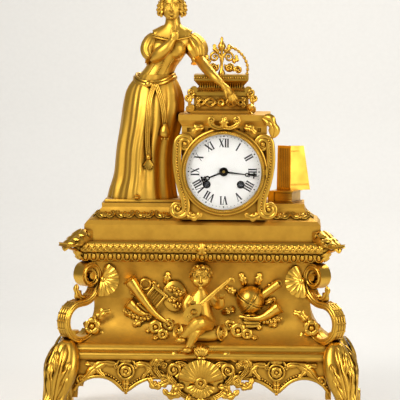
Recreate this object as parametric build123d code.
"""Figural mantel clock: a lady beside a clock pedestal, on a stepped base with scroll feet.

Millimetres. +Z is up, the dial faces -Y, and the origin is on the floor under the base.
A moulding's front stands as far back from its half-width as every other moulding's,
so that all the front corners mitre at 45 degrees, and the back of the case is flat.
"""
import math
import os

from build123d import *

# Fits and cutting
OVERRUN = 30.0                 # every cutting tool runs this far past what it cuts
FIT = 0.05                     # running fit on the radius of every pivot and pin
SEAT_GAP = 0.1                 # gap between cast pieces that are pinned side by side
WALL = 4.0                     # wall of the hollow castings

# Plan of the case
FRAME_FRONT = 49.0             # front reach of the base frame
BACK_REACH = 66.0              # flat back of the mouldings

# Feet and aprons
TOE_OUT = 31.0                 # toes beyond the frame
FOOT_HEIGHT = 96.0
FOOT_LEVEL_SHARES = [          # height, inset of the outer corner, side of the section
    (0.00, 0.03, 0.27), (0.10, 0.00, 0.31), (0.26, 0.06, 0.25), (0.40, 0.09, 0.29),
    (0.56, 0.08, 0.37), (0.74, 0.11, 0.37), (0.88, 0.17, 0.29), (1.00, 0.27, 0.12)]
FOOT_ROUND_SHARE = 0.3
APRON_THICK = 7.0
APRON_INSET = 5.0              # apron face behind the frame's torus
APRON_END_DROP = 48.0          # depth of the apron where it meets a foot
ARCH_RISE = 18.0
PENDANT_X = 91.0
PENDANT_DROP = 41.0
PENDANT_HALF = 8.0
MEDALLION_RADIUS = 9.5
MEDALLION_PROUD = 3.0
MEDALLION_DROP = 14.0          # its centre below the apron's top
CARTOUCHE_HALF = 57.0
CARTOUCHE_DROP = 49.0
CARTOUCHE_RISE = 5.0
CARTOUCHE_PROUD = 7.0
SHELL_RIBS = 9
SHELL_LOBE = 5.5

# Base frame, waisted body and cornice
FRAME_HALF_WIDTH = 162.0
FRAME_BOTTOM = 72.0
FRAME_TORUS = 10.0             # height of the torus
FRAME_HEIGHT = 19.0
FRAME_TORUS_BULGE = 4.5
FRAME_TOP_INSET = 4.0
BODY_HEIGHT = 98.0
BODY_WAIST_INSET = 26.0
BODY_TOP_INSET = 15.5
BODY_WAIST_SHARE = 0.54        # height of the waist in the body
BODY_HOLLOW_SHARE = 0.16       # bulge of the hollow below the waist, half of it above
CORNICE_HEIGHT = 25.0
CORNICE_OUT = 3.5              # its plan beyond the body's top
CORNICE_OVOLO = 12.0           # height of the egg-and-dart ovolo
CORNICE_LIP = 5.0              # overhang of the leaf-rope lip
EAR_REACH = 19.0               # a corner leaf's tip beyond the cornice
EAR_RISE = 13.0
EAR_WIDTH = 15.0

# Plinth
PLINTH_INSET = 3.0             # plain band inside the cornice's plan
PLINTH_PLAIN = 20.0            # height of the plain band
PLINTH_HEIGHT = 45.0
PLINTH_FILLET_INSET = 4.0
PLINTH_FILLET = 5.0
PLINTH_TOP_INSET = 20.0
PLINTH_TOP_FILLET = 5.0
PENDULUM_SLOT_HALF = 34.0
PENDULUM_SLOT_DEPTH = 34.0

# Scroll brackets at the front corners
BRACKET_WIDTH = 17.0
BRACKET_BAND = 8.0
BRACKET_C_RADIUS = 22.0        # lower scroll
BRACKET_C_OUT = 26.0           # its middle beyond the waist, along the diagonal
BRACKET_C_RISE = 26.0          # and above the body's bottom
BRACKET_C_START = 215          # where on it the spine begins
BRACKET_S_RADIUS = 30.0        # sweep from the lower scroll up to the volute
BRACKET_VOLUTE = 13.0          # spine of the upper volute
BRACKET_ARCS = [(BRACKET_C_RADIUS, 235), (BRACKET_S_RADIUS, -100), (BRACKET_VOLUTE, -150)]
BRACKET_EYE = 5.0              # boss in the middle of the volute
FLOWER_INSET = 1.0             # flower at the lower end of the scroll, inside the waist's corner
FLOWER_RISE = 20.0
FLOWER_RADIUS = 10.0
FLOWER_PETALS = 5
SHELL_INSET = 19.0             # shell beside the volute, inside the waist's corner
SHELL_DROP = 25.0
SHELL_RADIUS = 14.0

# Relief on the front of the base
RELIEF_PROUD = 16.0
CHERUB_HEIGHT = 100.0
CHERUB_X = -1.0
TROPHY_X = 62.0
TROPHY_RISE = 52.0             # its middle above the body's bottom
TROPHY_SIZE = 58.0
TROPHY_PROUD = 4.0             # its flat pieces in front of the body
TROPHY_PETALS = 6
ROSETTE_SHARES = (0.60, 0.42, 0.50, 0.33, 0.38)          # petals out, petal, disc, proud, ball
HORN_SHARES = ((-0.46, 0.42), (0.42, -0.48), 0.095, 0.020)       # two ends and their radii
SMALL_HORN_SHARES = ((-0.48, -0.06), (0.06, -0.16), 0.100, 0.020)
LYRE_PLACE_SHARES = (-0.05, 0.02)
LYRE_SHARES = (0.28, 0.44)
LYRE_INSIDE_SHARES = (0.18, 0.34)
LYRE_TURN = -40
STRING_SHARES = (0.02, 0.36)
STRING_PLACE_SHARES = (-0.045, 0, 0.045)
PALETTE_PLACE_SHARES = (0.46, 0.16)
PALETTE_SHARES = (0.19, 0.27)
FRUIT_SHARE = 0.085
FRUIT_PLACE_SHARES = [(-0.05, 0.13), (0.07, 0.05), (-0.05, -0.05), (0.06, -0.13)]
GARLAND_FRUITS = 4
GARLAND_SHARES = (0.11, 0.03)  # step across, and the sag of the row
LEFT_GARLAND_SHARES = (-0.52, -0.28)
RIGHT_GARLAND_SHARES = (0.14, -0.34)
LEFT_FLOWER_SHARES = [(0.12, -0.52, 0.13), (0.36, -0.50, 0.11)]  # place and radius
RIGHT_FLOWER_SHARES = [(-0.28, -0.60, 0.15)]
GLOBE_RADIUS = 15.0
GLOBE_BAND = 1.8
GLOBE_TILT = (20, 0, -35)
GLOBE_PLACE_SHARES = (-0.05, 0.02)
RIGHT_HORN_SHARES = ((-0.30, -0.34), (0.50, -0.12), 0.030, 0.110)
ROLL_SHARES = ((0.16, 0.06), (0.54, 0.36), 0.070, 0.070)
STEM_SHARES = ((-0.05, -0.20), (-0.05, -0.40), 0.080, 0.120)
BOOKS_PLACE_SHARES = (-0.03, -0.40)
BOOKS_SHARES = (0.30, 0.20)
BOOKS_TURN = 8
CHERUB_TORSO_SHARES = [        # height, x, y, half-width, half-depth
    (0.290, 0.030, 0.00, 0.130, 0.110), (0.380, 0.030, -0.01, 0.150, 0.140),
    (0.480, 0.010, -0.01, 0.130, 0.120), (0.590, -0.010, 0.00, 0.130, 0.105),
    (0.680, -0.010, 0.01, 0.110, 0.075), (0.740, 0.000, 0.00, 0.055, 0.050),
    (0.800, 0.000, -0.01, 0.050, 0.050)]
CHERUB_HEAD_SHARES = [
    (0.770, 0.000, -0.04, 0.035, 0.040), (0.810, 0.000, -0.03, 0.085, 0.090),
    (0.880, 0.000, -0.02, 0.125, 0.120), (0.960, 0.000, -0.01, 0.125, 0.120),
    (1.010, 0.000, 0.00, 0.080, 0.080), (1.035, 0.000, 0.00, 0.030, 0.030)]
CHERUB_LIMB_SHARES = [         # arms and legs: x, y, height, radius
    [(-0.120, 0.00, 0.665, 0.050), (-0.175, -0.03, 0.560, 0.052), (-0.140, -0.12, 0.480, 0.040),
     (-0.090, -0.18, 0.490, 0.028)],
    [(0.120, 0.00, 0.655, 0.050), (0.200, -0.03, 0.560, 0.050), (0.250, -0.12, 0.580, 0.038),
     (0.250, -0.17, 0.660, 0.028)],
    [(0.090, -0.02, 0.330, 0.085), (-0.020, -0.18, 0.360, 0.075), (-0.130, -0.20, 0.270, 0.055),
     (-0.230, -0.19, 0.170, 0.035)],
    [(0.000, -0.03, 0.310, 0.085), (-0.060, -0.17, 0.260, 0.070), (-0.110, -0.18, 0.150, 0.050),
     (-0.150, -0.19, 0.050, 0.036)]]
LUTE_SHARES = [(-0.170, -0.12, 0.400, 0.020), (-0.130, -0.13, 0.450, 0.100),
               (-0.060, -0.13, 0.520, 0.085), (0.000, -0.13, 0.580, 0.025),
               (0.180, -0.13, 0.740, 0.022), (0.360, -0.12, 0.890, 0.022)]
SEAT_SHARES = [(-0.250, 0.02, 0.235, 0.090), (-0.060, 0.00, 0.200, 0.095),
               (0.120, 0.00, 0.200, 0.095), (0.230, 0.02, 0.225, 0.090)]

# Pedestal
PEDESTAL_X = 25.6
PEDESTAL_HALF_WIDTH = 51.0
PEDESTAL_FRONT = 32.0
PEDESTAL_HEIGHT = 109.0
PEDESTAL_SKIRT = 18.0          # how far its front reaches down over the plinth's moulding
PEDESTAL_CAP = 14.0            # height of its cornice
PEDESTAL_CAP_OUT = 4.0
PEDESTAL_FRIEZE = 9.0
FLUTES = 11

# Dial and its mounts
DIAL_RISE = 40.4               # dial centre above the plinth's top
BORE_RADIUS = 46.0             # bore through the pedestal for the movement
RING_RADIUS = 53.0
RING_THICK = 8.0
RING_SLEEVE = 3.0              # wall of the ring's sleeve in the bore
RING_SLEEVE_LENGTH = 6.0
DIAL_RADIUS = 47.2
DIAL_SIGHT_RADIUS = 45.4
DIAL_THICK = 1.4
DIAL_DOME = 1.4
DIAL_DEPTH = 4.4               # dial edge behind the ring's front
WINDING_X = 20.5
WINDING_DROP = 15.4
WINDING_HOLE_RADIUS = 3.6
BEZEL_RADIUS = 49.6
BEZEL_THICK = 5.0
GLASS_RADIUS = 47.0
GLASS_THICK = 1.4
GLASS_DOME = 3.4
GLASS_DEPTH = 2.9              # glass edge behind the bezel's front
GLASS_SEAT = 0.3               # the sight edge stands this clear of the dome
SCROLL_THICK = 6.0
SCROLL_BAND = 9.0
SCROLL_X = 46.0                # upper volute from the dial's middle
SCROLL_RISE = 36.0
SCROLL_VOLUTE = 5.0
SCROLL_FOOT = 9.5              # spine of the lower volute
SCROLL_ARCS = [(16.0, -90), (120.0, -29), (16.0, 35), (SCROLL_FOOT, 200)]
CREST_RADIUS = 5.0
CREST_BAND = 3.2
SPANDREL_X = 38.0              # corner of a leaf from the dial's middle
SPANDREL_RISE = 54.0
CORNER_LEAF = 14.0

# Casket, cup and books
CASKET_X = 21.0                # middle of the casket
CASKET_FRONT = 4.0
CASKET_HALF_WIDTH = 33.0
CASKET_DEPTH = 46.0
CASKET_HEIGHT = 22.0
CASKET_FOOT = 6.0              # height of its foot moulding
CASKET_FOOT_OUT = 4.0
LID_HEIGHT = 25.0
LID_LIP = 4.0
LID_SLAB = 7.0
LID_WAIST_INSET = 6.0
CASKET_VOLUTE = 4.6
CRESTING_HEIGHT = 46.0
CRESTING_THICK = 5.0
CRESTING_BAND = 3.6
CRESTING_CURLS = [             # where on the stem, in shares of the height, and the arcs
    (0.42, [(7.0, 260)]), (0.22, [(8.4, -100), (7.0, -150)]), (0.05, [(21.0, 30), (4.4, 240)])]
FINIAL_SHARES = [              # radius and height
    (0.00, 0.00), (0.09, 0.00), (0.09, 0.06), (0.04, 0.16), (0.04, 0.62), (0.11, 0.72), (0.05, 0.86),
    (0.02, 1.00), (0.00, 1.00)]
CRESTING_ARM_RADIUS = 34.0
CRESTING_ARM_TURN = 58
CRESTING_BEADS = 7
BEAD_RADIUS = 2.4
CUP_HEIGHT = 13.0
CUP_RADIUS = 5.0
CUP_SHARES = [                 # shares of the radius and of the height
    (0.0, 0.00), (0.7, 0.00), (0.7, 0.08), (0.3, 0.20), (0.3, 0.32), (0.9, 0.55), (1.0, 0.80), (0.8, 0.84),
    (0.3, 1.00), (0.0, 1.00)]
CUP_X = 57.0
CUP_Y = -19.0
BOOK_WIDTH = 32.0
BOOK_DEPTH = 44.0
BOOK_THICK = 15.0
BOOK_BOARD = 1.6
BOOK_SQUARE = 2.0              # how far the boards stand past the pages
BOOK_X = 99.5
BOOK_Y = 24.0
BOOK_TURN = -15
OPEN_BOOK_HEIGHT = 54.0
OPEN_BOOK_WIDTH = 27.0
OPEN_BOOK_PAGES = 5.0
OPEN_BOOK_ANGLE = 34
OPEN_BOOK_X = 97.0
OPEN_BOOK_Y = 34.0

# Lady, all in shares of the figure's height
LADY_HEIGHT = 252.0
LADY_X = -75.5
LADY_Y = 28.0
SLAB_THICK = 4.0
FOLDS = 11
FOLD_POINTS = 44
SKIRT_SHARES = [               # height, x, y, half-width, half-depth, depth of the folds
    (0.000, 0.002, 0.000, 0.168, 0.138, 0.045), (0.045, 0.004, 0.000, 0.158, 0.134, 0.055),
    (0.120, 0.010, 0.000, 0.143, 0.128, 0.060), (0.240, 0.016, 0.002, 0.139, 0.126, 0.060),
    (0.360, 0.038, 0.004, 0.145, 0.126, 0.050), (0.460, 0.051, 0.006, 0.146, 0.120, 0.040),
    (0.535, 0.054, 0.008, 0.129, 0.102, 0.025), (0.600, 0.062, 0.008, 0.088, 0.068, 0.010)]
BODICE_SHARES = [              # height, x, y, half-width, half-depth
    (0.600, 0.062, 0.008, 0.086, 0.066), (0.634, 0.086, 0.006, 0.076, 0.062),
    (0.668, 0.106, 0.004, 0.078, 0.066), (0.712, 0.122, 0.000, 0.092, 0.072),
    (0.762, 0.136, 0.000, 0.102, 0.060), (0.800, 0.140, 0.004, 0.088, 0.044),
    (0.828, 0.143, 0.004, 0.056, 0.034), (0.848, 0.145, 0.002, 0.036, 0.031),
    (0.890, 0.146, -0.002, 0.029, 0.029)]
HEAD_SHARES = [                # height, x, y, half-width, half-depth
    (0.866, 0.139, -0.028, 0.014, 0.016), (0.884, 0.139, -0.018, 0.036, 0.044),
    (0.912, 0.139, -0.010, 0.045, 0.056), (0.945, 0.139, -0.006, 0.050, 0.062),
    (0.975, 0.139, -0.004, 0.044, 0.054), (1.000, 0.139, 0.000, 0.014, 0.018)]
CURL_SHARES = [                # out from the head's middle, y, height, radius
    (0.036, -0.024, 0.950, 0.012), (0.056, -0.022, 0.928, 0.017),
    (0.060, -0.022, 0.906, 0.017), (0.056, -0.022, 0.886, 0.009)]
CHIGNON_SHARES = (0.139, 0.056, 0.950, 0.034)
HEAD_MID_SHARE = 0.139
RIGHT_SLEEVE_SHARES = [        # x, y, height, radius
    (0.066, 0.004, 0.782, 0.034), (0.048, -0.004, 0.752, 0.046),
    (0.040, -0.018, 0.712, 0.047), (0.056, -0.044, 0.674, 0.030)]
RIGHT_FOREARM_SHARES = [
    (0.052, -0.048, 0.672, 0.026), (0.084, -0.080, 0.700, 0.034),
    (0.120, -0.094, 0.732, 0.030), (0.150, -0.092, 0.770, 0.017)]
RIGHT_HAND_SHARES = [
    (0.148, -0.092, 0.766, 0.015), (0.156, -0.086, 0.796, 0.020),
    (0.158, -0.078, 0.826, 0.013), (0.157, -0.068, 0.858, 0.006)]
LEFT_SLEEVE_SHARES = [
    (0.222, 0.004, 0.778, 0.036), (0.246, 0.000, 0.750, 0.048),
    (0.264, -0.008, 0.714, 0.050), (0.272, -0.016, 0.672, 0.030)]
LEFT_FOREARM_SHARES = [
    (0.270, -0.026, 0.678, 0.027), (0.308, -0.104, 0.638, 0.029),
    (0.352, -0.172, 0.594, 0.023), (0.394, -0.186, 0.556, 0.013)]
LEFT_HAND_SHARES = [
    (0.392, -0.186, 0.558, 0.012), (0.416, -0.182, 0.530, 0.018),
    (0.436, -0.172, 0.500, 0.013), (0.448, -0.162, 0.474, 0.006)]
BELT_SHARES = (0.572, 0.600)   # lower and upper edge of the belt
SASH_SHARES = [                # x and height of the two hanging ends
    [(0.060, 0.586), (0.040, 0.500), (0.030, 0.380), (0.030, 0.260), (0.044, 0.180)],
    [(0.072, 0.586), (0.098, 0.500), (0.108, 0.400), (0.112, 0.330)]]
SASH_WIDTH = 6.0
SASH_THICK = 2.4
BELT_GAP = 2.2                 # girdle outside the skirt's folds

# Movement: plates and pillars
PLATE_RADIUS = 44.0
PLATE_THICK = 2.0
PLATE_GAP = 32.0
PILLAR_RADIUS = 2.4
PILLAR_CIRCLE = 39.5
PILLAR_ANGLES = (270, 30, 150, 66)
STRAP_WIDTH = 8.0
STRAP_THICK = 1.3
REAR_RING_RADIUS = 50.0
REAR_RING_THICK = 4.0
DOOR_RADIUS = 48.0
DOOR_THICK = 1.6
DOOR_BEAD = 2.4
HINGE_KNUCKLE = 1.6
HINGE_PIN = 0.7
HINGE_LENGTH = 6.0
HINGE_SPLIT = 0.2              # end gap between the knuckles
HINGE_CLEAR = 1.9              # hinge line beyond the swinging disc's edge

# Movement: trains, tooth counts and modules
GREAT_TEETH, GREAT_MODULE = 64, 0.55
SECOND_LEAVES = 8
INTERMEDIATE_TEETH, INTERMEDIATE_MODULE = 48, 0.60
CENTRE_LEAVES = 8
CENTRE_TEETH, CENTRE_MODULE = 72, 0.40
THIRD_LEAVES = 6
THIRD_TEETH, THIRD_MODULE = 66, 0.33
ESCAPE_LEAVES = 6
ESCAPE_TEETH = 36
ESCAPE_RADIUS = 8.0
STRIKE_TEETH, STRIKE_MODULE = 48, 0.45
PIN_LEAVES = 8
PIN_TEETH, PIN_MODULE = 42, 0.40
FLY_LEAVES = 6
CANNON_LEAVES, MOTION_MODULE = 10, 0.50
MINUTE_TEETH = 30
MINUTE_LEAVES = 8
HOUR_TEETH = 32
WHEEL_TOOTH_SHARES = (0.95, 1.2, 0.40)         # addendum, dedendum, half-width at the root
LEAF_TOOTH_SHARES = (0.6, 1.3, 0.15, 0.13)     # addendum, dedendum, half-widths
SPOKES = 4
SPOKE_WIDTH = 1.6
RIM_WIDTH = 1.8
WHEEL_THICK = 1.4
LEAF_LENGTH = 3.0
ARBOR_RADIUS = 0.6             # slimmer than the smallest pinion's root allows
PIVOT_RADIUS = 0.4
HUB_RADIUS = 2.2
PIN_WHEEL_ANGLE = 118          # direction of the pin wheel from the strike's second wheel
FLY_ANGLE = 62                 # direction of the fly from the pin wheel
MINUTE_WHEEL_ANGLE = 40
END_SHAKE = 0.3                # between an arbor's shoulder and the plate
LIFT_PINS = 8
LIFT_PIN_RADIUS = 0.4
LIFT_PIN_LENGTH = 3.0
FLY_SPAN = 6.0
FLY_LENGTH = 9.0
FLY_SHEET = 0.6

# Movement: depths of the parts behind the front plate
BARREL_RADIUS = 15.6
BARREL_DEPTH = 3.0
BARREL_LENGTH = 17.0
BARREL_ARBOR = 2.4
SQUARE_SIDE = 3.6
SQUARE_DEPTH = 1.2             # its end behind the dial's face
INTERMEDIATE_DEPTH = 22.2
CENTRE_DEPTH = 25.6
THIRD_DEPTH = 28.6
ESCAPE_DEPTH = 22.0
PIN_WHEEL_DEPTH = 10.0
FLY_DEPTH = 14.0

# Motion work, ratchets and hands, depths in front of the front plate
CANNON_RISE = 0.6
CANNON_RADIUS = 1.5
HOUR_RISE = 3.6
HOUR_WHEEL_THICK = 2.4
PIPE_WALL = 0.6
RATCHET_RADIUS = 6.6
RATCHET_TEETH = 16
RATCHET_CUT = 1.2
RATCHET_THICK = 1.6
RATCHET_RISE = 0.5
CLICK_LENGTH = 9.0
CLICK_WIDTH = 2.6
CLICK_CLEAR = 0.3
HAND_THICK = 0.4
HAND_WAIST_SHARE = 0.62        # heights along a hand, in shares of its length
HAND_LOOP_SHARE = 0.56
HAND_LEAF_SHARES = (0.76, 0.82)
TREFOIL_SHARES = (0.6, 0.45)   # out from the middle and radius, in shares of a hand's width
HOUR_HAND_LENGTH = 31.7
MINUTE_HAND_LENGTH = 42.5
HAND_WIDTH = 2.6
HAND_RING = 3.4
HOUR_HAND_ANGLE = 248
MINUTE_HAND_ANGLE = 96.7
HAND_CLEAR = 0.8               # between the dial, the hour hand and the minute hand
BOSS_RADIUS = 4.8
BOSS_THICK = 1.2

# Escapement, pendulum, bell and hammer
ANCHOR_RISE = 11.2             # anchor's arbor above the escape wheel's
ANCHOR_CLEAR = 0.9             # pallets outside the tips, more than the swing brings them in
ANCHOR_THICK = 2.0
PALLET_ANGLE = 47
PALLET_WIDTH = 1.6
CRUTCH_LENGTH = 26.0
CRUTCH_WIDTH = 2.0
CRUTCH_REAR = 2.5              # crutch behind the back plate
CRUTCH_GAP = 0.15
PENDULUM_REAR = 9.0            # rod's axis behind the back plate
PENDULUM_LENGTH = 142.6        # to the middle of the bob
ROD_RADIUS = 1.0
BOB_RADIUS = 15.0
BOB_THICK = 9.0
SUSPENSION_RISE = 4.0
SUSPENSION_SHEET = 0.4
COCK_WIDTH = 14.0
COCK_THICK = 2.0
BELL_RADIUS = 25.0
BELL_WALL = 1.4
BELL_DEPTH = 15.0
BELL_REAR = 13.0               # its mouth behind the back plate
BELL_DROP = 10.0
STAND_X = 31.0
STAND_RADIUS = 2.0
HAMMER_X = 38.0
HAMMER_RISE = 12.0
HAMMER_HEAD = 3.6
HAMMER_GAP = 1.0
HAMMER_SIDE_ANGLE = 175
TIE_ROD_RADIUS = 2.0
TIE_NUT_RADIUS = 5.0
TIE_NUT_THICK = 3.0
TIE_BAR_THICK = 3.0            # bar that each nut draws up under the cornice
TIE_BAR_INSET = 12.0
TIE_ROD_INSET = 24.0

# Heights and places that follow
FRONT_SETBACK = FRAME_HALF_WIDTH - FRAME_FRONT
TOE_HALF_WIDTH = FRAME_HALF_WIDTH + TOE_OUT
BODY_BOTTOM_HALF = FRAME_HALF_WIDTH - FRAME_TOP_INSET
WAIST_HALF = BODY_BOTTOM_HALF - BODY_WAIST_INSET
CORNICE_HALF_WIDTH = BODY_BOTTOM_HALF - BODY_TOP_INSET + CORNICE_OUT
PLINTH_HALF_WIDTH = CORNICE_HALF_WIDTH - PLINTH_INSET
BODY_BOTTOM = FRAME_BOTTOM + FRAME_HEIGHT
BODY_TOP = BODY_BOTTOM + BODY_HEIGHT
PLINTH_BOTTOM = BODY_TOP + CORNICE_HEIGHT
PLINTH_TOP = PLINTH_BOTTOM + PLINTH_HEIGHT
PEDESTAL_TOP = PLINTH_TOP + PEDESTAL_HEIGHT
PEDESTAL_BACK = BACK_REACH
DIAL_Z = PLINTH_TOP + DIAL_RISE
RING_FRONT = -PEDESTAL_FRONT - RING_THICK
PLATE_FRONT = -PEDESTAL_FRONT + RING_SLEEVE_LENGTH
TRAIN_FRONT = PLATE_FRONT + PLATE_THICK
TRAIN_BACK = TRAIN_FRONT + PLATE_GAP
PLATE_BACK = TRAIN_BACK + PLATE_THICK
DIAL_FRONT = RING_FRONT + DIAL_DEPTH - DIAL_DOME
HOUR_HAND_FRONT = DIAL_FRONT - HAND_CLEAR - HAND_THICK
MINUTE_HAND_FRONT = HOUR_HAND_FRONT - HAND_CLEAR - HAND_THICK
PENDULUM_Y = PLATE_BACK + PENDULUM_REAR


def front_plane(y):
    """Plane facing the viewer at depth y: its x is X and its y is Z."""
    return Plane(origin=(0, y, 0), x_dir=(1, 0, 0), z_dir=(0, -1, 0))


def slab(sketch, y_front, y_back):
    """A sketch drawn in X and Z, made solid between two depths."""
    return extrude(front_plane(y_back) * sketch, amount=y_back - y_front, dir=(0, -1, 0))


def rod(x, z, radius, y_front, y_back):
    """A round bar along Y."""
    return slab(Pos(x, z) * Circle(radius), y_front, y_back)


def block(x_range, y_range, z_range):
    """A box between pairs of limits."""
    size = [high - low for low, high in (x_range, y_range, z_range)]
    middle = [(high + low) / 2 for low, high in (x_range, y_range, z_range)]
    return Pos(*middle) * Box(*size)


def joined(shapes):
    """One solid out of shapes that overlap."""
    first, *others = shapes
    return first.fuse(*others) if others else first


def both_sides(shape):
    """A shape and its mirror image, as two solids."""
    return Compound(children=[*shape.solids(), *mirror(shape, about=Plane.YZ).solids()])


def outline_edges(points):
    """Lines and arcs through (x, y, bulge); the bulge is a share of the chord to the next."""
    edges = Curve()
    for (x, y, bulge), (next_x, next_y, _) in zip(points, points[1:]):
        start, end = (x, y), (next_x, next_y)
        chord = math.dist(start, end)
        edges += SagittaArc(start, end, bulge * chord) if bulge else Line(start, end)
    return edges


def moulded_block(half_width, outline, inset=0):
    """A block with one outline of (offset, height, bulge) on its front and both sides."""
    bottom, top = outline[0][1], outline[-1][1]
    half_width, back = half_width - inset, inset - BACK_REACH
    right = [(half_width + offset, height, bulge) for offset, height, bulge in outline]
    side = outline_edges(right)
    across = side + mirror(side, about=Plane.YZ)
    across += Line((right[-1][0], top), (-right[-1][0], top))
    across += Line((-right[0][0], bottom), (right[0][0], bottom))
    reach = max(offset for offset, _, _ in outline) + half_width + OVERRUN
    wide = slab(make_face(across), -reach, reach)
    front = [(offset - FRONT_SETBACK, height, bulge) for offset, height, bulge in right]
    deep = outline_edges(front)
    deep += Line((front[-1][0], top), (back, top))
    deep += Line((back, top), (back, bottom))
    deep += Line((back, bottom), (front[0][0], bottom))
    side_plane = Plane(origin=(-reach, 0, 0), x_dir=(0, -1, 0), z_dir=(-1, 0, 0))
    return wide & extrude(side_plane * make_face(deep), amount=-2 * reach)


def ring_path(start, heading, arcs):
    """Tangent arcs one after another, each a radius and a turn in degrees."""
    path, point, direction = Curve(), start, heading
    for radius, turn in arcs:
        arc = JernArc(start=point, tangent=direction, radius=radius, arc_size=turn)
        path += arc
        point, direction = arc @ 1, arc % 1
    return path


def ribbon(path, band, y_front, y_back):
    """A flat band along a path drawn in X and Z, between two depths."""
    placed = front_plane((y_front + y_back) / 2) * path
    wire = Wire(placed.edges())
    start = Plane(origin=wire @ 0, x_dir=(0, 1, 0), z_dir=wire % 0)
    return sweep(start * Rectangle(y_back - y_front, band), path=wire)


def section_loft(shares, size, base):
    """A loft through level ellipses whose shares are of one size."""
    sections = []
    for height, x, y, half_width, half_depth in shares:
        place = Plane(origin=base + Vector(x, y, height) * size)
        sections.append(place * Ellipse(half_width * size, half_depth * size))
    return loft(sections)


def limb(shares, size, base):
    """A round limb through (x, y, height, radius), each a share of one size."""
    points = [base + Vector(x, y, height) * size for x, y, height, _ in shares]
    sections = []
    for index, (point, share) in enumerate(zip(points, shares)):
        before = points[max(index - 1, 0)]
        after = points[min(index + 1, len(points) - 1)]
        place = Plane(origin=point, x_dir=(0, 1, 0), z_dir=after - before)
        sections.append(place * Circle(share[3] * size))
    return loft(sections)


# Base


def foot():
    """One scroll foot at the right front corner, swelling at the knee and the toe."""
    reach = TOE_HALF_WIDTH - FRONT_SETBACK
    sections = []
    for height, inset, side in FOOT_LEVEL_SHARES:
        length = side * FOOT_HEIGHT
        back = inset * FOOT_HEIGHT + length / 2
        place = Plane(origin=(TOE_HALF_WIDTH - back, back - reach, height * FOOT_HEIGHT))
        sections.append(place * RectangleRounded(length, length, length * FOOT_ROUND_SHARE))
    return loft(sections)


def frame_outline(inset=0):
    """Torus and cavetto under the body."""
    bulge = FRAME_TORUS_BULGE / FRAME_TORUS
    torus_top = FRAME_BOTTOM + FRAME_TORUS
    return [(-inset, FRAME_BOTTOM, -bulge), (-inset, torus_top, 0),
            (-inset - FRAME_TOP_INSET / 2, torus_top, bulge / 2),
            (-inset - FRAME_TOP_INSET, BODY_BOTTOM, 0)]


def feet():
    """Four feet, cut to hug the frame's corners; the rear pair mirrors the front pair."""
    solids = []
    for stand in (foot(), mirror(foot(), about=Plane.XZ)):
        stand = stand - moulded_block(FRAME_HALF_WIDTH, frame_outline()) - body_block()
        solids += both_sides(max(stand.solids(), key=lambda solid: solid.volume)).solids()
    return Compound(children=solids)


def apron_face(half):
    """Arched apron with a pendant on each side, drawn in width and height."""
    end = FRAME_BOTTOM - APRON_END_DROP
    spring = FRAME_BOTTOM - PENDANT_DROP + ARCH_RISE / 3
    pendant = FRAME_BOTTOM - PENDANT_DROP
    middle = FRAME_BOTTOM - APRON_END_DROP + ARCH_RISE
    outer, inner = PENDANT_X + PENDANT_HALF, PENDANT_X - PENDANT_HALF
    bulge = ARCH_RISE / (half - outer)
    right = [(half, FRAME_BOTTOM, 0), (half, end, -bulge), (outer, spring, 0),
             (PENDANT_X, pendant, 0), (inner, spring, -bulge / 2),
             (CARTOUCHE_HALF / 2, middle, 0), (0, middle, 0)]
    edges = outline_edges(right)
    edges += mirror(edges, about=Plane.YZ)
    edges += Line((half, FRAME_BOTTOM), (-half, FRAME_BOTTOM))
    return make_face(edges)


def side_apron_face(front, back):
    """One plain arch between a front and a rear foot."""
    end = FRAME_BOTTOM - APRON_END_DROP
    bulge = ARCH_RISE / (back - front)
    edges = outline_edges([(front, FRAME_BOTTOM, 0), (front, end, bulge), (back, end, 0),
                           (back, FRAME_BOTTOM, 0), (front, FRAME_BOTTOM, 0)])
    return make_face(edges)


def aprons(stands):
    """Front apron with medallions, a side apron on each side, and a plain one behind."""
    face_y = FRONT_SETBACK + APRON_INSET - FRAME_HALF_WIDTH
    half = FRAME_HALF_WIDTH - APRON_INSET
    front = slab(apron_face(half), face_y, face_y + APRON_THICK)
    boss_z = FRAME_BOTTOM - MEDALLION_DROP
    boss = rod(PENDANT_X, boss_z, MEDALLION_RADIUS, face_y - MEDALLION_PROUD,
               face_y + APRON_THICK / 2)
    front = joined([front, boss, mirror(boss, about=Plane.YZ)])
    back_y = BACK_REACH - APRON_INSET
    plane = Plane(origin=(half, 0, 0), x_dir=(0, 1, 0), z_dir=(1, 0, 0))
    side = extrude(plane * side_apron_face(face_y + APRON_THICK, back_y), amount=-APRON_THICK)
    rear_face = apron_face(half - APRON_THICK)
    rear = slab(rear_face, back_y - APRON_THICK, back_y)
    pieces = [front, side, mirror(side, about=Plane.YZ), rear]
    keep = []
    for piece in pieces:
        keep += (piece - stands).solids()
    return Compound(children=[solid for solid in keep if solid.volume > APRON_THICK ** 3])


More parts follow.
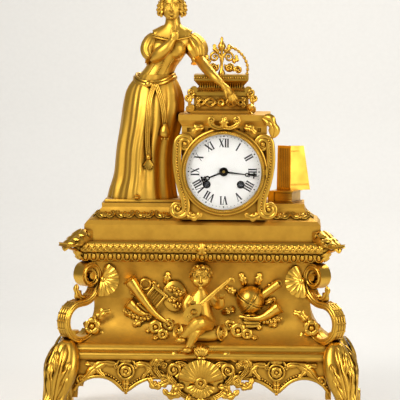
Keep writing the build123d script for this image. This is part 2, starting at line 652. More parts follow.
def apron_cartouche():
    """A ribbed shell between two scrolls on the middle of the front apron."""
    face_y = FRONT_SETBACK + APRON_INSET - FRAME_HALF_WIDTH
    fan_radius = CARTOUCHE_DROP / 2
    hub_z = FRAME_BOTTOM - fan_radius
    lobes = PolarLocations(fan_radius - SHELL_LOBE / 2, SHELL_RIBS, 0, 180, endpoint=True)
    fan = Circle(fan_radius - SHELL_LOBE / 2) + [lobe * Circle(SHELL_LOBE) for lobe in lobes]
    keep = Pos(0, fan_radius) * Rectangle(4 * fan_radius, 2 * fan_radius)
    top = FRAME_BOTTOM - hub_z
    fan = (fan & keep) & (Pos(0, top / 2) * Rectangle(4 * fan_radius, top))
    shell = slab(Pos(0, hub_z) * fan, face_y - CARTOUCHE_PROUD, face_y)
    drop = slab(Pos(0, hub_z) * make_face(outline_edges([
        (-fan_radius, 0, 0.2), (0, -fan_radius, 0.2), (fan_radius, 0, 0), (-fan_radius, 0, 0)])),
        face_y - CARTOUCHE_PROUD, face_y)
    arcs = [(fan_radius / 3, 240), (fan_radius / 2, 120)]
    scroll = ribbon(ring_path((CARTOUCHE_HALF - fan_radius, hub_z), (0, 1), arcs),
                    CARTOUCHE_RISE, face_y - CARTOUCHE_PROUD / 2, face_y)
    scroll = scroll + rod(CARTOUCHE_HALF - fan_radius, hub_z - fan_radius / 4, fan_radius / 2,
                          face_y - CARTOUCHE_PROUD / 2, face_y)
    web = block((-CARTOUCHE_HALF + fan_radius, CARTOUCHE_HALF - fan_radius),
                (face_y - CARTOUCHE_PROUD / 2, face_y),
                (hub_z - CARTOUCHE_RISE, hub_z + CARTOUCHE_RISE))
    return joined([shell, drop, web, scroll, mirror(scroll, about=Plane.YZ)])


def hollow(half_width, bottom, top, inset):
    """The tool that hollows a casting, following the plan of its mouldings."""
    half = half_width - inset
    return block((-half, half), (FRONT_SETBACK - half, BACK_REACH - WALL), (bottom, top))


def base_frame():
    """Open frame that ties the feet, the aprons and the body."""
    solid = moulded_block(FRAME_HALF_WIDTH, frame_outline())
    inset = FRAME_HALF_WIDTH - BODY_BOTTOM_HALF + WALL
    return solid - hollow(FRAME_HALF_WIDTH, FRAME_BOTTOM - OVERRUN, BODY_BOTTOM + OVERRUN, inset)


def body_outline():
    """Waisted sides: two arcs that meet at the waist."""
    waist = BODY_BOTTOM + BODY_WAIST_SHARE * BODY_HEIGHT
    return [(0, BODY_BOTTOM, BODY_HOLLOW_SHARE), (-BODY_WAIST_INSET, waist, BODY_HOLLOW_SHARE / 2),
            (-BODY_TOP_INSET, BODY_TOP, 0)]


def body_block(inset=0):
    """The body before it is hollowed, also the tool that seats the relief on it."""
    return moulded_block(BODY_BOTTOM_HALF, body_outline(), inset)


def base_body():
    """Waisted body of even wall, open below and above."""
    return body_block() - body_block(WALL)


def corner_ear():
    """A leaf that curls out over a front corner of the cornice."""
    corner = CORNICE_HALF_WIDTH + CORNICE_LIP / 2
    tip = EAR_REACH * math.sqrt(2)
    band = CORNICE_HEIGHT - CORNICE_OVOLO
    leaf = outline_edges([(-EAR_WIDTH, -band / 2, 0), (tip / 3, -band / 3, -0.1), (tip, -band / 3, 0.3),
                          (tip, 0, 0.2), (tip / 4, EAR_RISE / 2, 0.1), (-EAR_WIDTH / 2, EAR_RISE, 0),
                          (-EAR_WIDTH, EAR_RISE, 0), (-EAR_WIDTH, -band / 2, 0)])
    plane = Plane(origin=(corner, FRONT_SETBACK - corner, PLINTH_BOTTOM),
                  x_dir=(1, -1, 0), z_dir=(-1, -1, 0))
    return extrude(plane * make_face(leaf), amount=EAR_WIDTH / 2, both=True)


def cornice_block():
    """Ovolo and leaf-rope lip."""
    ovolo_top = BODY_TOP + CORNICE_OVOLO
    neck = BODY_BOTTOM_HALF - BODY_TOP_INSET - CORNICE_HALF_WIDTH
    return moulded_block(CORNICE_HALF_WIDTH, [
        (neck, BODY_TOP, -0.25), (CORNICE_LIP / 2, ovolo_top, 0),
        (CORNICE_LIP, ovolo_top, -0.2), (CORNICE_LIP / 2, PLINTH_BOTTOM, 0)])


def cornice():
    """Cornice with a corner leaf at each front corner, open in the middle."""
    inset = CORNICE_HALF_WIDTH - PLINTH_HALF_WIDTH + PLINTH_TOP_INSET + WALL
    opening = hollow(CORNICE_HALF_WIDTH, BODY_TOP - OVERRUN, PLINTH_BOTTOM + OVERRUN, inset)
    ear = corner_ear() - plinth_block()
    return joined([cornice_block(), ear, mirror(ear, about=Plane.YZ)]) - opening


def plinth_block():
    """Plain band, sloping fillet, palmette slope and top fillet."""
    plain_top = PLINTH_BOTTOM + PLINTH_PLAIN
    slope_top = PLINTH_TOP - PLINTH_TOP_FILLET
    return moulded_block(PLINTH_HALF_WIDTH, [
        (0, PLINTH_BOTTOM, 0), (0, plain_top, 0),
        (-PLINTH_FILLET_INSET, plain_top + PLINTH_FILLET, 0.12),
        (-PLINTH_TOP_INSET, slope_top, 0), (-PLINTH_TOP_INSET, PLINTH_TOP, 0)])


def plinth():
    """Hollow plinth with a deck, a notch for the pedestal's front and the pendulum's slot."""
    inset = PLINTH_TOP_INSET + WALL
    cavity = hollow(PLINTH_HALF_WIDTH, PLINTH_BOTTOM - OVERRUN, PLINTH_TOP - WALL, inset)
    top_front = FRONT_SETBACK + PLINTH_TOP_INSET - PLINTH_HALF_WIDTH
    half = PEDESTAL_HALF_WIDTH + SEAT_GAP
    notch = block((PEDESTAL_X - half, PEDESTAL_X + half), (-PLINTH_HALF_WIDTH, top_front + SEAT_GAP),
                  (PLINTH_TOP - PEDESTAL_SKIRT, PLINTH_TOP + OVERRUN))
    slot = block((PEDESTAL_X - PENDULUM_SLOT_HALF, PEDESTAL_X + PENDULUM_SLOT_HALF),
                 (PENDULUM_Y - PENDULUM_SLOT_DEPTH / 2, PENDULUM_Y + PENDULUM_SLOT_DEPTH / 2),
                 (PLINTH_TOP - OVERRUN, PLINTH_TOP + OVERRUN))
    bore = rod(PEDESTAL_X, DIAL_Z, BORE_RADIUS, -PLINTH_HALF_WIDTH, PLINTH_HALF_WIDTH)
    return plinth_block() - cavity - notch - slot - bore


def bracket():
    """S-scroll bracket on the diagonal of the right front corner."""
    plane = Plane(origin=(WAIST_HALF, FRONT_SETBACK - WAIST_HALF, 0), x_dir=(1, -1, 0), z_dir=(-1, -1, 0))
    middle = Vector(BRACKET_C_OUT, BODY_BOTTOM + BRACKET_C_RISE)
    angle = math.radians(BRACKET_C_START)
    start = middle + Vector(math.cos(angle), math.sin(angle)) * BRACKET_C_RADIUS
    spine = ring_path(start, (-math.sin(angle), math.cos(angle)), BRACKET_ARCS)
    path = Wire((plane * spine).edges())
    section = Plane(origin=path @ 0, x_dir=(1, 1, 0), z_dir=path % 0)
    band = sweep(section * Rectangle(BRACKET_WIDTH, BRACKET_BAND), path=path)
    volute = spine.edges()[-1].arc_center
    web = plane * (Pos(volute.X, volute.Y) * Circle(BRACKET_VOLUTE))
    eye = plane * (Pos(volute.X, volute.Y) * Circle(BRACKET_EYE))
    return joined([band, extrude(web, amount=BRACKET_WIDTH / 3, both=True),
                   extrude(eye, amount=BRACKET_WIDTH / 2, both=True)])


def scroll_brackets(stands):
    """Both brackets, cut to stand against the body, the frame, the cornice and the feet."""
    flower = rosette(WAIST_HALF - FLOWER_INSET, BODY_BOTTOM + FLOWER_RISE, FLOWER_RADIUS, FLOWER_PETALS)
    shell = rosette(WAIST_HALF - SHELL_INSET, BODY_TOP - SHELL_DROP, SHELL_RADIUS, SHELL_RIBS)
    piece = joined([bracket(), flower, shell]) - body_block()
    piece = piece - moulded_block(FRAME_HALF_WIDTH, frame_outline()) - cornice_block() - stands
    solids = [solid for solid in piece.solids() if solid.volume > BRACKET_EYE ** 3]
    return both_sides(Compound(children=solids))


def body_front(height):
    """Depth of the body's concave front at a height."""
    outline = body_outline()
    (low_x, low, bulge), (high_x, high, _) = outline[:2] if height < outline[1][1] else outline[1:]
    part = (height - low) / (high - low)
    sink = 4 * bulge * math.dist((low_x, low), (high_x, high)) * part * (1 - part)
    return FRONT_SETBACK - BODY_BOTTOM_HALF - low_x - (high_x - low_x) * part + sink


def on_body(x, height, out=0):
    """A point on the front of the body, or a little out from it."""
    return Vector(x, body_front(height) - out, height)


def taper(start, end, start_radius, end_radius):
    """A straight round taper between two points."""
    along = end - start
    ends = [Plane(origin=point, x_dir=(0, 1, 0), z_dir=along) * Circle(radius)
            for point, radius in ((start, start_radius), (end, end_radius))]
    return loft(ends)


def rosette(x, height, radius, petals):
    """A flower of round petals with a ball in the middle."""
    out, petal, disc, proud, ball = (share * radius for share in ROSETTE_SHARES)
    place = on_body(x, height)
    ring = [spot * Circle(petal) for spot in PolarLocations(out, petals)]
    flower = slab(Pos(x, height) * (Circle(disc) + ring), place.Y - proud, place.Y + radius)
    return joined([flower, Pos(place - Vector(0, proud, 0)) * Sphere(ball)])


def trophy_spot(side, x, z, out=0):
    """A place on a trophy, in shares of its size from its middle."""
    return on_body(side * TROPHY_X + x * TROPHY_SIZE, BODY_BOTTOM + TROPHY_RISE + z * TROPHY_SIZE, out)


def trophy_taper(side, shares):
    """A horn, roll or stem, from the shares of its ends and of their radii."""
    start, end, start_radius, end_radius = shares
    return taper(trophy_spot(side, *start, TROPHY_PROUD), trophy_spot(side, *end, TROPHY_PROUD),
                 start_radius * TROPHY_SIZE, end_radius * TROPHY_SIZE)


def trophy_plate(side, place, sketch, proud):
    """A flat piece that stands proud of the body at its place."""
    spot = trophy_spot(side, *place)
    return slab(Pos(spot.X, spot.Z) * sketch, spot.Y - proud, spot.Y + TROPHY_SIZE)


def trophy_rectangle(shares):
    """A rectangle whose sides are shares of a trophy's size."""
    width, height = shares
    return Rectangle(width * TROPHY_SIZE, height * TROPHY_SIZE)


def garland(side, start):
    """A hanging row of fruit."""
    x, z = start
    across, sag = GARLAND_SHARES
    spots = [trophy_spot(side, x + across * step, z - sag * step * (GARLAND_FRUITS - step))
             for step in range(GARLAND_FRUITS)]
    return [Pos(spot) * Sphere(FRUIT_SHARE * TROPHY_SIZE) for spot in spots]


def trophy_flowers(side, shares):
    """Flowers at the foot of a trophy."""
    flowers = []
    for x, z, radius in shares:
        spot = trophy_spot(side, x, z)
        flowers.append(rosette(spot.X, spot.Z, radius * TROPHY_SIZE, TROPHY_PETALS))
    return flowers


def trophy_left():
    """Horns, a strung frame, a palette with fruit, a garland and flowers."""
    horns = [trophy_taper(-1, shares) for shares in (HORN_SHARES, SMALL_HORN_SHARES)]
    bars = trophy_rectangle(LYRE_SHARES) - trophy_rectangle(LYRE_INSIDE_SHARES)
    bars += [Pos(x * TROPHY_SIZE, 0) * trophy_rectangle(STRING_SHARES) for x in STRING_PLACE_SHARES]
    lyre = trophy_plate(-1, LYRE_PLACE_SHARES, Rot(0, 0, LYRE_TURN) * bars, TROPHY_PROUD * 2)
    half_width, half_height = (share * TROPHY_SIZE for share in PALETTE_SHARES)
    palette = trophy_plate(-1, PALETTE_PLACE_SHARES, Ellipse(half_width, half_height), TROPHY_PROUD)
    mid_x, mid_z = PALETTE_PLACE_SHARES
    fruit = [Pos(trophy_spot(-1, mid_x + x, mid_z + z, TROPHY_PROUD)) * Sphere(FRUIT_SHARE * TROPHY_SIZE)
             for x, z in FRUIT_PLACE_SHARES]
    return joined([lyre, *horns, palette, *fruit, *garland(-1, LEFT_GARLAND_SHARES),
                   *trophy_flowers(-1, LEFT_FLOWER_SHARES)]) - body_block()


def trophy_right():
    """A banded globe on a stem, a horn, a rolled sheet, books, a garland and a flower."""
    centre = trophy_spot(1, *GLOBE_PLACE_SHARES, GLOBE_RADIUS / 3)
    globe = Pos(centre) * Sphere(GLOBE_RADIUS)
    band = Pos(centre) * Rot(*GLOBE_TILT) * Torus(GLOBE_RADIUS, GLOBE_BAND)
    tapers = [trophy_taper(1, shares) for shares in (STEM_SHARES, RIGHT_HORN_SHARES, ROLL_SHARES)]
    books = trophy_plate(1, BOOKS_PLACE_SHARES, Rot(0, 0, BOOKS_TURN) * trophy_rectangle(BOOKS_SHARES),
                         TROPHY_PROUD * 2)
    return joined([globe, band, *tapers, books, *garland(1, RIGHT_GARLAND_SHARES),
                   *trophy_flowers(1, RIGHT_FLOWER_SHARES)]) - body_block()


def cherub():
    """A seated child with a lute, cut to sit in the concave front."""
    base = Vector(CHERUB_X, body_front(BODY_BOTTOM + BODY_WAIST_SHARE * BODY_HEIGHT) - RELIEF_PROUD,
                  FRAME_BOTTOM + FRAME_TORUS)
    pieces = [section_loft(CHERUB_TORSO_SHARES, CHERUB_HEIGHT, base),
              section_loft(CHERUB_HEAD_SHARES, CHERUB_HEIGHT, base)]
    pieces += [limb(shares, CHERUB_HEIGHT, base)
               for shares in (*CHERUB_LIMB_SHARES, LUTE_SHARES, SEAT_SHARES)]
    figure = joined(pieces) - body_block() - moulded_block(FRAME_HALF_WIDTH, frame_outline())
    return max(figure.solids(), key=lambda solid: solid.volume)


# Pedestal and what stands on the plinth


def pedestal():
    """Block with a cornice and a fluted frieze, bored through for the movement."""
    left, right = PEDESTAL_X - PEDESTAL_HALF_WIDTH, PEDESTAL_X + PEDESTAL_HALF_WIDTH
    front, back = -PEDESTAL_FRONT, PEDESTAL_BACK
    cap_bottom = PEDESTAL_TOP - PEDESTAL_CAP
    main = block((left, right), (front, back), (PLINTH_TOP, cap_bottom))
    skirt_back = FRONT_SETBACK + PLINTH_TOP_INSET - PLINTH_HALF_WIDTH
    skirt = block((left, right), (front, skirt_back), (PLINTH_TOP - PEDESTAL_SKIRT, PLINTH_TOP))
    middle = ((left + right) / 2, (front + back) / 2)
    width, depth = right - left, back - front
    levels = [(cap_bottom, 0), (cap_bottom + PEDESTAL_CAP / 2, PEDESTAL_CAP_OUT)]
    flare = loft([Plane(origin=(*middle, height)) * Rectangle(width + 2 * out, depth + 2 * out)
                  for height, out in levels])
    out = PEDESTAL_CAP_OUT
    slab_top = block((left - out, right + out), (front - out, back + out),
                     (cap_bottom + PEDESTAL_CAP / 2, PEDESTAL_TOP))
    solid = joined([main, skirt, flare, slab_top])
    pitch = width / (FLUTES + 1)
    flute = Cylinder(pitch / 4, PEDESTAL_FRIEZE - pitch / 2)
    flute_z = cap_bottom - PEDESTAL_FRIEZE / 2
    flutes = [Pos(left + pitch * (step + 1), front, flute_z) * flute for step in range(FLUTES)]
    bore = rod(PEDESTAL_X, DIAL_Z, BORE_RADIUS, front - OVERRUN, back + OVERRUN)
    return solid.cut(bore, *flutes)


def dial_scroll():
    """The S-scroll at the right of the dial, ending in two volutes."""
    front, back = -PEDESTAL_FRONT - SCROLL_THICK, -PEDESTAL_FRONT
    eye = (PEDESTAL_X + SCROLL_X, DIAL_Z + SCROLL_RISE)
    spine = ring_path((eye[0], eye[1] + SCROLL_VOLUTE), (1, 0), SCROLL_ARCS)
    foot = spine.edges()[-1].arc_center
    return joined([ribbon(spine, SCROLL_BAND, front, back),
                   rod(*eye, SCROLL_VOLUTE + SCROLL_BAND / 4, front, back),
                   rod(foot.X, foot.Y, SCROLL_FOOT - SCROLL_BAND / 4, front, back)])


def spandrel_leaf(side, up, ring_tool):
    """A leaf in a corner outside the dial ring."""
    back = -PEDESTAL_FRONT
    x, z = PEDESTAL_X + side * SPANDREL_X, DIAL_Z + up * SPANDREL_RISE
    corner = outline_edges([(x, z, 0), (x - side * CORNER_LEAF, z, 0), (x, z - up * CORNER_LEAF, 0),
                            (x, z, 0)])
    leaf = slab(make_face(corner), back - SCROLL_THICK / 2, back) - ring_tool
    return max(leaf.solids(), key=lambda solid: solid.volume)


def dial_mounts(ring_tool):
    """Side scrolls, a crest of two C-scrolls and a leaf in each corner round the dial."""
    dial_plane = Plane(origin=(PEDESTAL_X, 0, 0), x_dir=(0, 1, 0), z_dir=(1, 0, 0))
    scroll = (dial_scroll() - ring_tool).solid()
    solids = [scroll, mirror(scroll, about=dial_plane)]
    back = -PEDESTAL_FRONT - PEDESTAL_CAP_OUT
    crest_z = DIAL_Z + RING_RADIUS + SEAT_GAP
    curl = ring_path((PEDESTAL_X, crest_z + CREST_BAND / 2), (1, 0), [(CREST_RADIUS, 250)])
    half_crest = ribbon(curl, CREST_BAND, back - SCROLL_THICK / 2, back)
    stem = rod(PEDESTAL_X, crest_z + CREST_BAND, CREST_BAND, back - SCROLL_THICK / 2, back)
    crest = joined([half_crest, mirror(half_crest, about=dial_plane), stem]) - ring_tool
    solids += [max(crest.solids(), key=lambda solid: solid.volume)]
    solids += [spandrel_leaf(side, up, ring_tool) for side in (-1, 1) for up in (-1, 1)]
    return Compound(children=solids)


def stepped_box(middle, half_width, half_depth, steps):
    """Stacked levels of (height, outset) round a box, lofted straight from one to the next."""
    pieces = []
    for (low, low_out), (high, high_out) in zip(steps, steps[1:]):
        if high > low:
            ends = [Plane(origin=(*middle, height))
                    * Rectangle(2 * (half_width + out), 2 * (half_depth + out))
                    for height, out in ((low, low_out), (high, high_out))]
            pieces.append(loft(ends, ruled=True))
    return joined(pieces)


def casket_box():
    """Box on a spread foot, with a lock plate and strapwork on its front."""
    middle = (CASKET_X, CASKET_DEPTH / 2 - CASKET_FRONT)
    foot_top, top = PEDESTAL_TOP + CASKET_FOOT, PEDESTAL_TOP + CASKET_HEIGHT
    box = stepped_box(middle, CASKET_HALF_WIDTH, CASKET_DEPTH / 2, [
        (PEDESTAL_TOP, CASKET_FOOT_OUT), (PEDESTAL_TOP + CASKET_FOOT / 2, CASKET_FOOT_OUT),
        (foot_top, 0), (top, 0)])
    strap = (foot_top + top) / 2
    height = top - foot_top
    lock = Circle(height / 4) + Rectangle(CASKET_HALF_WIDTH, height / 5)
    lock += [Pos(side * CASKET_HALF_WIDTH / 2, 0) * Circle(height / 5) for side in (-1, 1)]
    proud = CASKET_FOOT_OUT / 2
    lock = slab(Pos(CASKET_X, strap) * lock, -CASKET_FRONT - proud, -CASKET_FRONT + proud)
    volute = rod(0, foot_top, CASKET_VOLUTE, -CASKET_FRONT - CASKET_FOOT_OUT,
                 -CASKET_FRONT + CASKET_FOOT_OUT)
    side = CASKET_HALF_WIDTH + CASKET_FOOT_OUT
    return joined([box, lock, *(Pos(CASKET_X + sign * side) * volute for sign in (-1, 1))])


def casket_lid():
    """Concave lid under a flat slab, with a volute at each front corner."""
    middle = (CASKET_X, CASKET_DEPTH / 2 - CASKET_FRONT)
    bottom = PEDESTAL_TOP + CASKET_HEIGHT
    top = bottom + LID_HEIGHT
    waist = bottom + (LID_HEIGHT + LID_LIP - LID_SLAB) / 2
    lid = stepped_box(middle, CASKET_HALF_WIDTH, CASKET_DEPTH / 2, [
        (bottom, LID_LIP / 2), (bottom + LID_LIP, LID_LIP / 2), (bottom + LID_LIP, 0),
        (waist, -LID_WAIST_INSET), (top - LID_SLAB, 0), (top, 0)])
    front = -CASKET_FRONT - LID_LIP / 2
    volute = rod(0, bottom + LID_LIP / 2 + CASKET_VOLUTE, CASKET_VOLUTE, front, front + 2 * CASKET_VOLUTE)
    return joined([lid, *(Pos(CASKET_X + sign * CASKET_HALF_WIDTH) * volute for sign in (-1, 1))])


def casket_cresting():
    """Finial, C-scrolls, a fleuron and a beaded arm, standing on the lid."""
    y = CASKET_DEPTH / 2 - CASKET_FRONT
    bottom = PEDESTAL_TOP + CASKET_HEIGHT + LID_HEIGHT
    front, back = y - CRESTING_THICK / 2, y + CRESTING_THICK / 2
    height = CRESTING_HEIGHT
    stem = Polygon(*[(x * height, z * height) for x, z in FINIAL_SHARES], align=None)
    finial = Pos(CASKET_X, y, bottom) * revolve(Plane.XZ * stem, axis=Axis.Z)
    curls = []
    for share, arcs in CRESTING_CURLS:
        path = ring_path((CASKET_X, bottom + height * share), (1, 0), arcs)
        curls.append(ribbon(path, CRESTING_BAND, front, back))
    plane = Plane(origin=(CASKET_X, 0, 0), x_dir=(0, 1, 0), z_dir=(1, 0, 0))
    curls += [mirror(curl, about=plane) for curl in curls]
    arm_start = (CASKET_X + CASKET_HALF_WIDTH - BEAD_RADIUS, bottom + BEAD_RADIUS)
    arm = ring_path(arm_start, (0, 1), [(CRESTING_ARM_RADIUS, CRESTING_ARM_TURN)])
    rail = ribbon(arm, BEAD_RADIUS, y - BEAD_RADIUS / 2, y + BEAD_RADIUS / 2)
    beads = []
    for step in range(CRESTING_BEADS):
        spot = arm @ (step / (CRESTING_BEADS - 1))
        beads.append(Pos(spot.X, y, spot.Y) * Sphere(BEAD_RADIUS))
    floor = block((CASKET_X - CASKET_HALF_WIDTH, arm_start[0] + BEAD_RADIUS), (front, back),
                  (bottom - OVERRUN, bottom))
    reach = arm @ 1
    tie = block((CASKET_X, reach.X), (y - BEAD_RADIUS / 2, y + BEAD_RADIUS / 2),
                (reach.Y - BEAD_RADIUS, reach.Y))
    return joined([finial, *curls, rail, *beads, tie]) - floor


def cup():
    """A small covered pot beside the casket."""
    points = [(x * CUP_RADIUS, z * CUP_HEIGHT) for x, z in CUP_SHARES]
    return Pos(CUP_X, CUP_Y, PEDESTAL_TOP) * revolve(Plane.XZ * Polygon(*points, align=None), axis=Axis.Z)


def bound_pages(width, depth, thick):
    """A closed book: boards, a rounded spine at the left and pages set back from the edges."""
    boards = [Pos(0, 0, height) * Box(width, depth, BOOK_BOARD)
              for height in (BOOK_BOARD / 2, thick - BOOK_BOARD / 2)]
    pages = Pos(-BOOK_SQUARE / 2, 0, thick / 2) * Box(width - BOOK_SQUARE, depth - 2 * BOOK_SQUARE,
                                                     thick - BOOK_BOARD)
    spine = Pos(-width / 2, 0, thick / 2) * Rot(90, 0, 0) * Cylinder(thick / 2, depth)
    spine = spine & (Pos(-width / 2, 0, thick / 2) * Box(thick / 2, depth, thick))
    return joined([*boards, pages, spine])


def book_closed():
    """The closed book lying beside the pedestal."""
    tail = BOOK_THICK / 4
    lying = bound_pages(BOOK_WIDTH - tail, BOOK_DEPTH, BOOK_THICK)
    return Pos(BOOK_X + tail / 2, BOOK_Y, PLINTH_TOP) * Rot(0, 0, BOOK_TURN) * lying


def book_open():
    """A half-open book standing on the closed one, its fore-edge to the front."""
    leaf = Pos(OPEN_BOOK_PAGES / 2 + BOOK_BOARD / 2, -OPEN_BOOK_WIDTH / 2, OPEN_BOOK_HEIGHT / 2)
    leaf = leaf * Box(BOOK_BOARD, OPEN_BOOK_WIDTH, OPEN_BOOK_HEIGHT)
    pages = Pos(OPEN_BOOK_PAGES / 4, -(OPEN_BOOK_WIDTH - BOOK_SQUARE) / 2, OPEN_BOOK_HEIGHT / 2)
    pages = pages * Box(OPEN_BOOK_PAGES / 2 + BOOK_BOARD, OPEN_BOOK_WIDTH - BOOK_SQUARE,
                        OPEN_BOOK_HEIGHT - 2 * BOOK_SQUARE)
    half = leaf + pages
    right = Rot(0, 0, OPEN_BOOK_ANGLE) * half
    left = Rot(0, 0, -OPEN_BOOK_ANGLE / 2) * mirror(half, about=Plane.YZ)
    spine = Pos(0, 0, OPEN_BOOK_HEIGHT / 2) * Cylinder(OPEN_BOOK_PAGES, OPEN_BOOK_HEIGHT)
    return Pos(OPEN_BOOK_X, OPEN_BOOK_Y, PLINTH_TOP + BOOK_THICK) * joined([right, left, spine])


# Lady


def lady_base():
    """The point between the figure's feet, on its slab."""
    return Vector(LADY_X, LADY_Y, PLINTH_TOP + SLAB_THICK)


def skirt_loft(grown=0):
    """The folded skirt, or a little larger to carry what lies on it."""
    sections = []
    for height, x, y, half_width, half_depth, fold in SKIRT_SHARES:
        place = Plane(origin=lady_base() + Vector(x, y, height) * LADY_HEIGHT)
        points = []
        for step in range(FOLD_POINTS):
            angle = 2 * math.pi * step / FOLD_POINTS
            swell = 1 + fold * math.cos(FOLDS * angle)
            points.append((math.cos(angle) * (half_width * LADY_HEIGHT * swell + grown),
                           math.sin(angle) * (half_depth * LADY_HEIGHT * swell + grown)))
        sections.append(place * make_face(Spline(*points, periodic=True)))
    return loft(sections)


def pedestal_tool():
    """The space that the pedestal takes, with the seat gap all round."""
    out = PEDESTAL_HALF_WIDTH + PEDESTAL_CAP_OUT + SEAT_GAP
    return block((PEDESTAL_X - out, PEDESTAL_X + out), (-PLINTH_HALF_WIDTH, PLINTH_HALF_WIDTH),
                 (PEDESTAL_TOP - PEDESTAL_CAP - SEAT_GAP, PEDESTAL_TOP + SEAT_GAP))


def lady_skirt():
    """Skirt on its own slab, clear of the pedestal's cornice."""
    _, _, _, half_width, half_depth, fold = SKIRT_SHARES[0]
    half = half_width * LADY_HEIGHT * (1 + fold)
    deep = half_depth * LADY_HEIGHT * (1 + fold)
    pad = block((LADY_X - half, LADY_X + half), (LADY_Y - deep, LADY_Y + deep),
                (PLINTH_TOP, PLINTH_TOP + SLAB_THICK))
    return joined([pad, skirt_loft() - pedestal_tool()])


def lady_bodice():
    """Bodice, shoulders and neck."""
    return section_loft(BODICE_SHARES, LADY_HEIGHT, lady_base())


def lady_head(bodice):
    """Head with side curls and a knot of hair behind."""
    base = lady_base()
    head = section_loft(HEAD_SHARES, LADY_HEIGHT, base)
    curls = []
    for side in (-1, 1):
        shares = [(HEAD_MID_SHARE + side * out, y, height, radius)
                  for out, y, height, radius in CURL_SHARES]
        curls.append(limb(shares, LADY_HEIGHT, base))
    x, y, height, radius = CHIGNON_SHARES
    knot = Pos(base + Vector(x, y, height) * LADY_HEIGHT) * Sphere(radius * LADY_HEIGHT)
    return joined([head, *curls, knot]) - bodice


def lady_arm(sleeve, forearm, hand, others):
    """A puffed sleeve, a forearm and a hand, cut where they meet the rest of the figure."""
    arm = joined([limb(shares, LADY_HEIGHT, lady_base()) for shares in (sleeve, forearm, hand)])
    for other in others:
        arm = arm - other
    return max(arm.solids(), key=lambda solid: solid.volume)


def skirt_level(height):
    """The skirt's shares at a height, between the levels that are given."""
    levels = [level for level in SKIRT_SHARES if level[0] <= height]
    low, high = levels[-1], SKIRT_SHARES[min(len(levels), len(SKIRT_SHARES) - 1)]
    part = (height - low[0]) / (high[0] - low[0]) if high[0] > low[0] else 0
    return [start + (end - start) * part for start, end in zip(low, high)]


def waist_loft(heights, out):
    """A loft round the waist between two heights, a little outside the folds."""
    sections = []
    for height in heights:
        _, x, y, half_width, half_depth, fold = skirt_level(height)
        place = Plane(origin=lady_base() + Vector(x, y, height) * LADY_HEIGHT)
        sections.append(place * Ellipse(half_width * (1 + fold) * LADY_HEIGHT + out,
                                        half_depth * (1 + fold) * LADY_HEIGHT + out))
    return loft(sections)


def skirt_front(x, height, out):
    """Depth just in front of the skirt's folds, at shares of the figure's height across and up."""
    _, mid_x, mid_y, half_width, half_depth, fold = skirt_level(height)
    across = min(abs(x - mid_x) / half_width, 1)
    depth = half_depth * (1 + fold) * math.sqrt(1 - across ** 2)
    return LADY_Y + (mid_y - depth) * LADY_HEIGHT - out


def lady_girdle():
    """Belt round the waist with two ends hanging down the front of the skirt."""
    base = lady_base()
    pieces = [waist_loft(BELT_SHARES, BELT_GAP + SASH_THICK) - waist_loft(BELT_SHARES, BELT_GAP)]
    for ends in SASH_SHARES:
        sections = []
        for x, height in ends:
            depth = skirt_front(x, height, BELT_GAP + SASH_THICK / 2)
            place = Plane(origin=(base.X + x * LADY_HEIGHT, depth, base.Z + height * LADY_HEIGHT))
            sections.append(place * Rectangle(SASH_WIDTH, SASH_THICK))
        pieces.append(loft(sections, ruled=True))
    return joined(pieces)


# Dial, bezel and door


def turned(points, x=PEDESTAL_X, z=DIAL_Z):
    """A body turned about an axis along Y; points are (radius, depth, bulge), closed."""
    face = make_face(outline_edges([*points, points[0]]))
    return Pos(x, 0, z) * revolve(face, axis=Axis.Y)


def cap_bulge(radius, dome):
    """Bulge, as a share of the chord, of a dome's arc from its crown to its edge."""
    sphere = (radius ** 2 + dome ** 2) / (2 * dome)
    chord = math.hypot(radius, dome)
    return (sphere - math.sqrt(sphere ** 2 - chord ** 2 / 4)) / chord


def knuckle(x, y, low, high, hole):
    """One hinge knuckle on a vertical line."""
    tube = Circle(HINGE_KNUCKLE) - Circle(HINGE_PIN + hole)
    return extrude(Plane(origin=(x, y, low)) * tube, amount=high - low)


def knuckle_spans():
    """Heights of the moving knuckle and of the two fixed ones round it."""
    half = HINGE_LENGTH / 2
    outer = half + HINGE_SPLIT
    moving = (DIAL_Z - half, DIAL_Z + half)
    return moving, [(DIAL_Z - outer - half, DIAL_Z - outer), (DIAL_Z + outer, DIAL_Z + outer + half)]


def hinge_place(disc_radius, side, seat, out):
    """X and Y of a hinge line beside a swinging disc that lies on a seat."""
    return PEDESTAL_X + side * (disc_radius + HINGE_CLEAR), seat + out * HINGE_KNUCKLE


def fixed_knuckles(x, y, seat):
    """The pair of knuckles on the fixed ring, each on a foot."""
    pieces = []
    for low, high in knuckle_spans()[1]:
        foot = block((x - HINGE_KNUCKLE, x + HINGE_KNUCKLE), sorted((y, seat)), (low, high))
        bore = extrude(Plane(origin=(x, y, low)) * Circle(HINGE_PIN), amount=high - low)
        pieces.append(joined([knuckle(x, y, low, high, 0), foot]) - bore)
    return pieces


def moving_knuckle(x, y, toward, out):
    """The knuckle on the swinging disc, with the tab that carries it."""
    low, high = knuckle_spans()[0]
    tab = block(sorted((x, toward)), sorted((y, y + out * HINGE_KNUCKLE)), (low, high))
    bore = extrude(Plane(origin=(x, y, low)) * Circle(HINGE_PIN + FIT), amount=high - low)
    return joined([knuckle(x, y, low, high, FIT), tab]) - bore


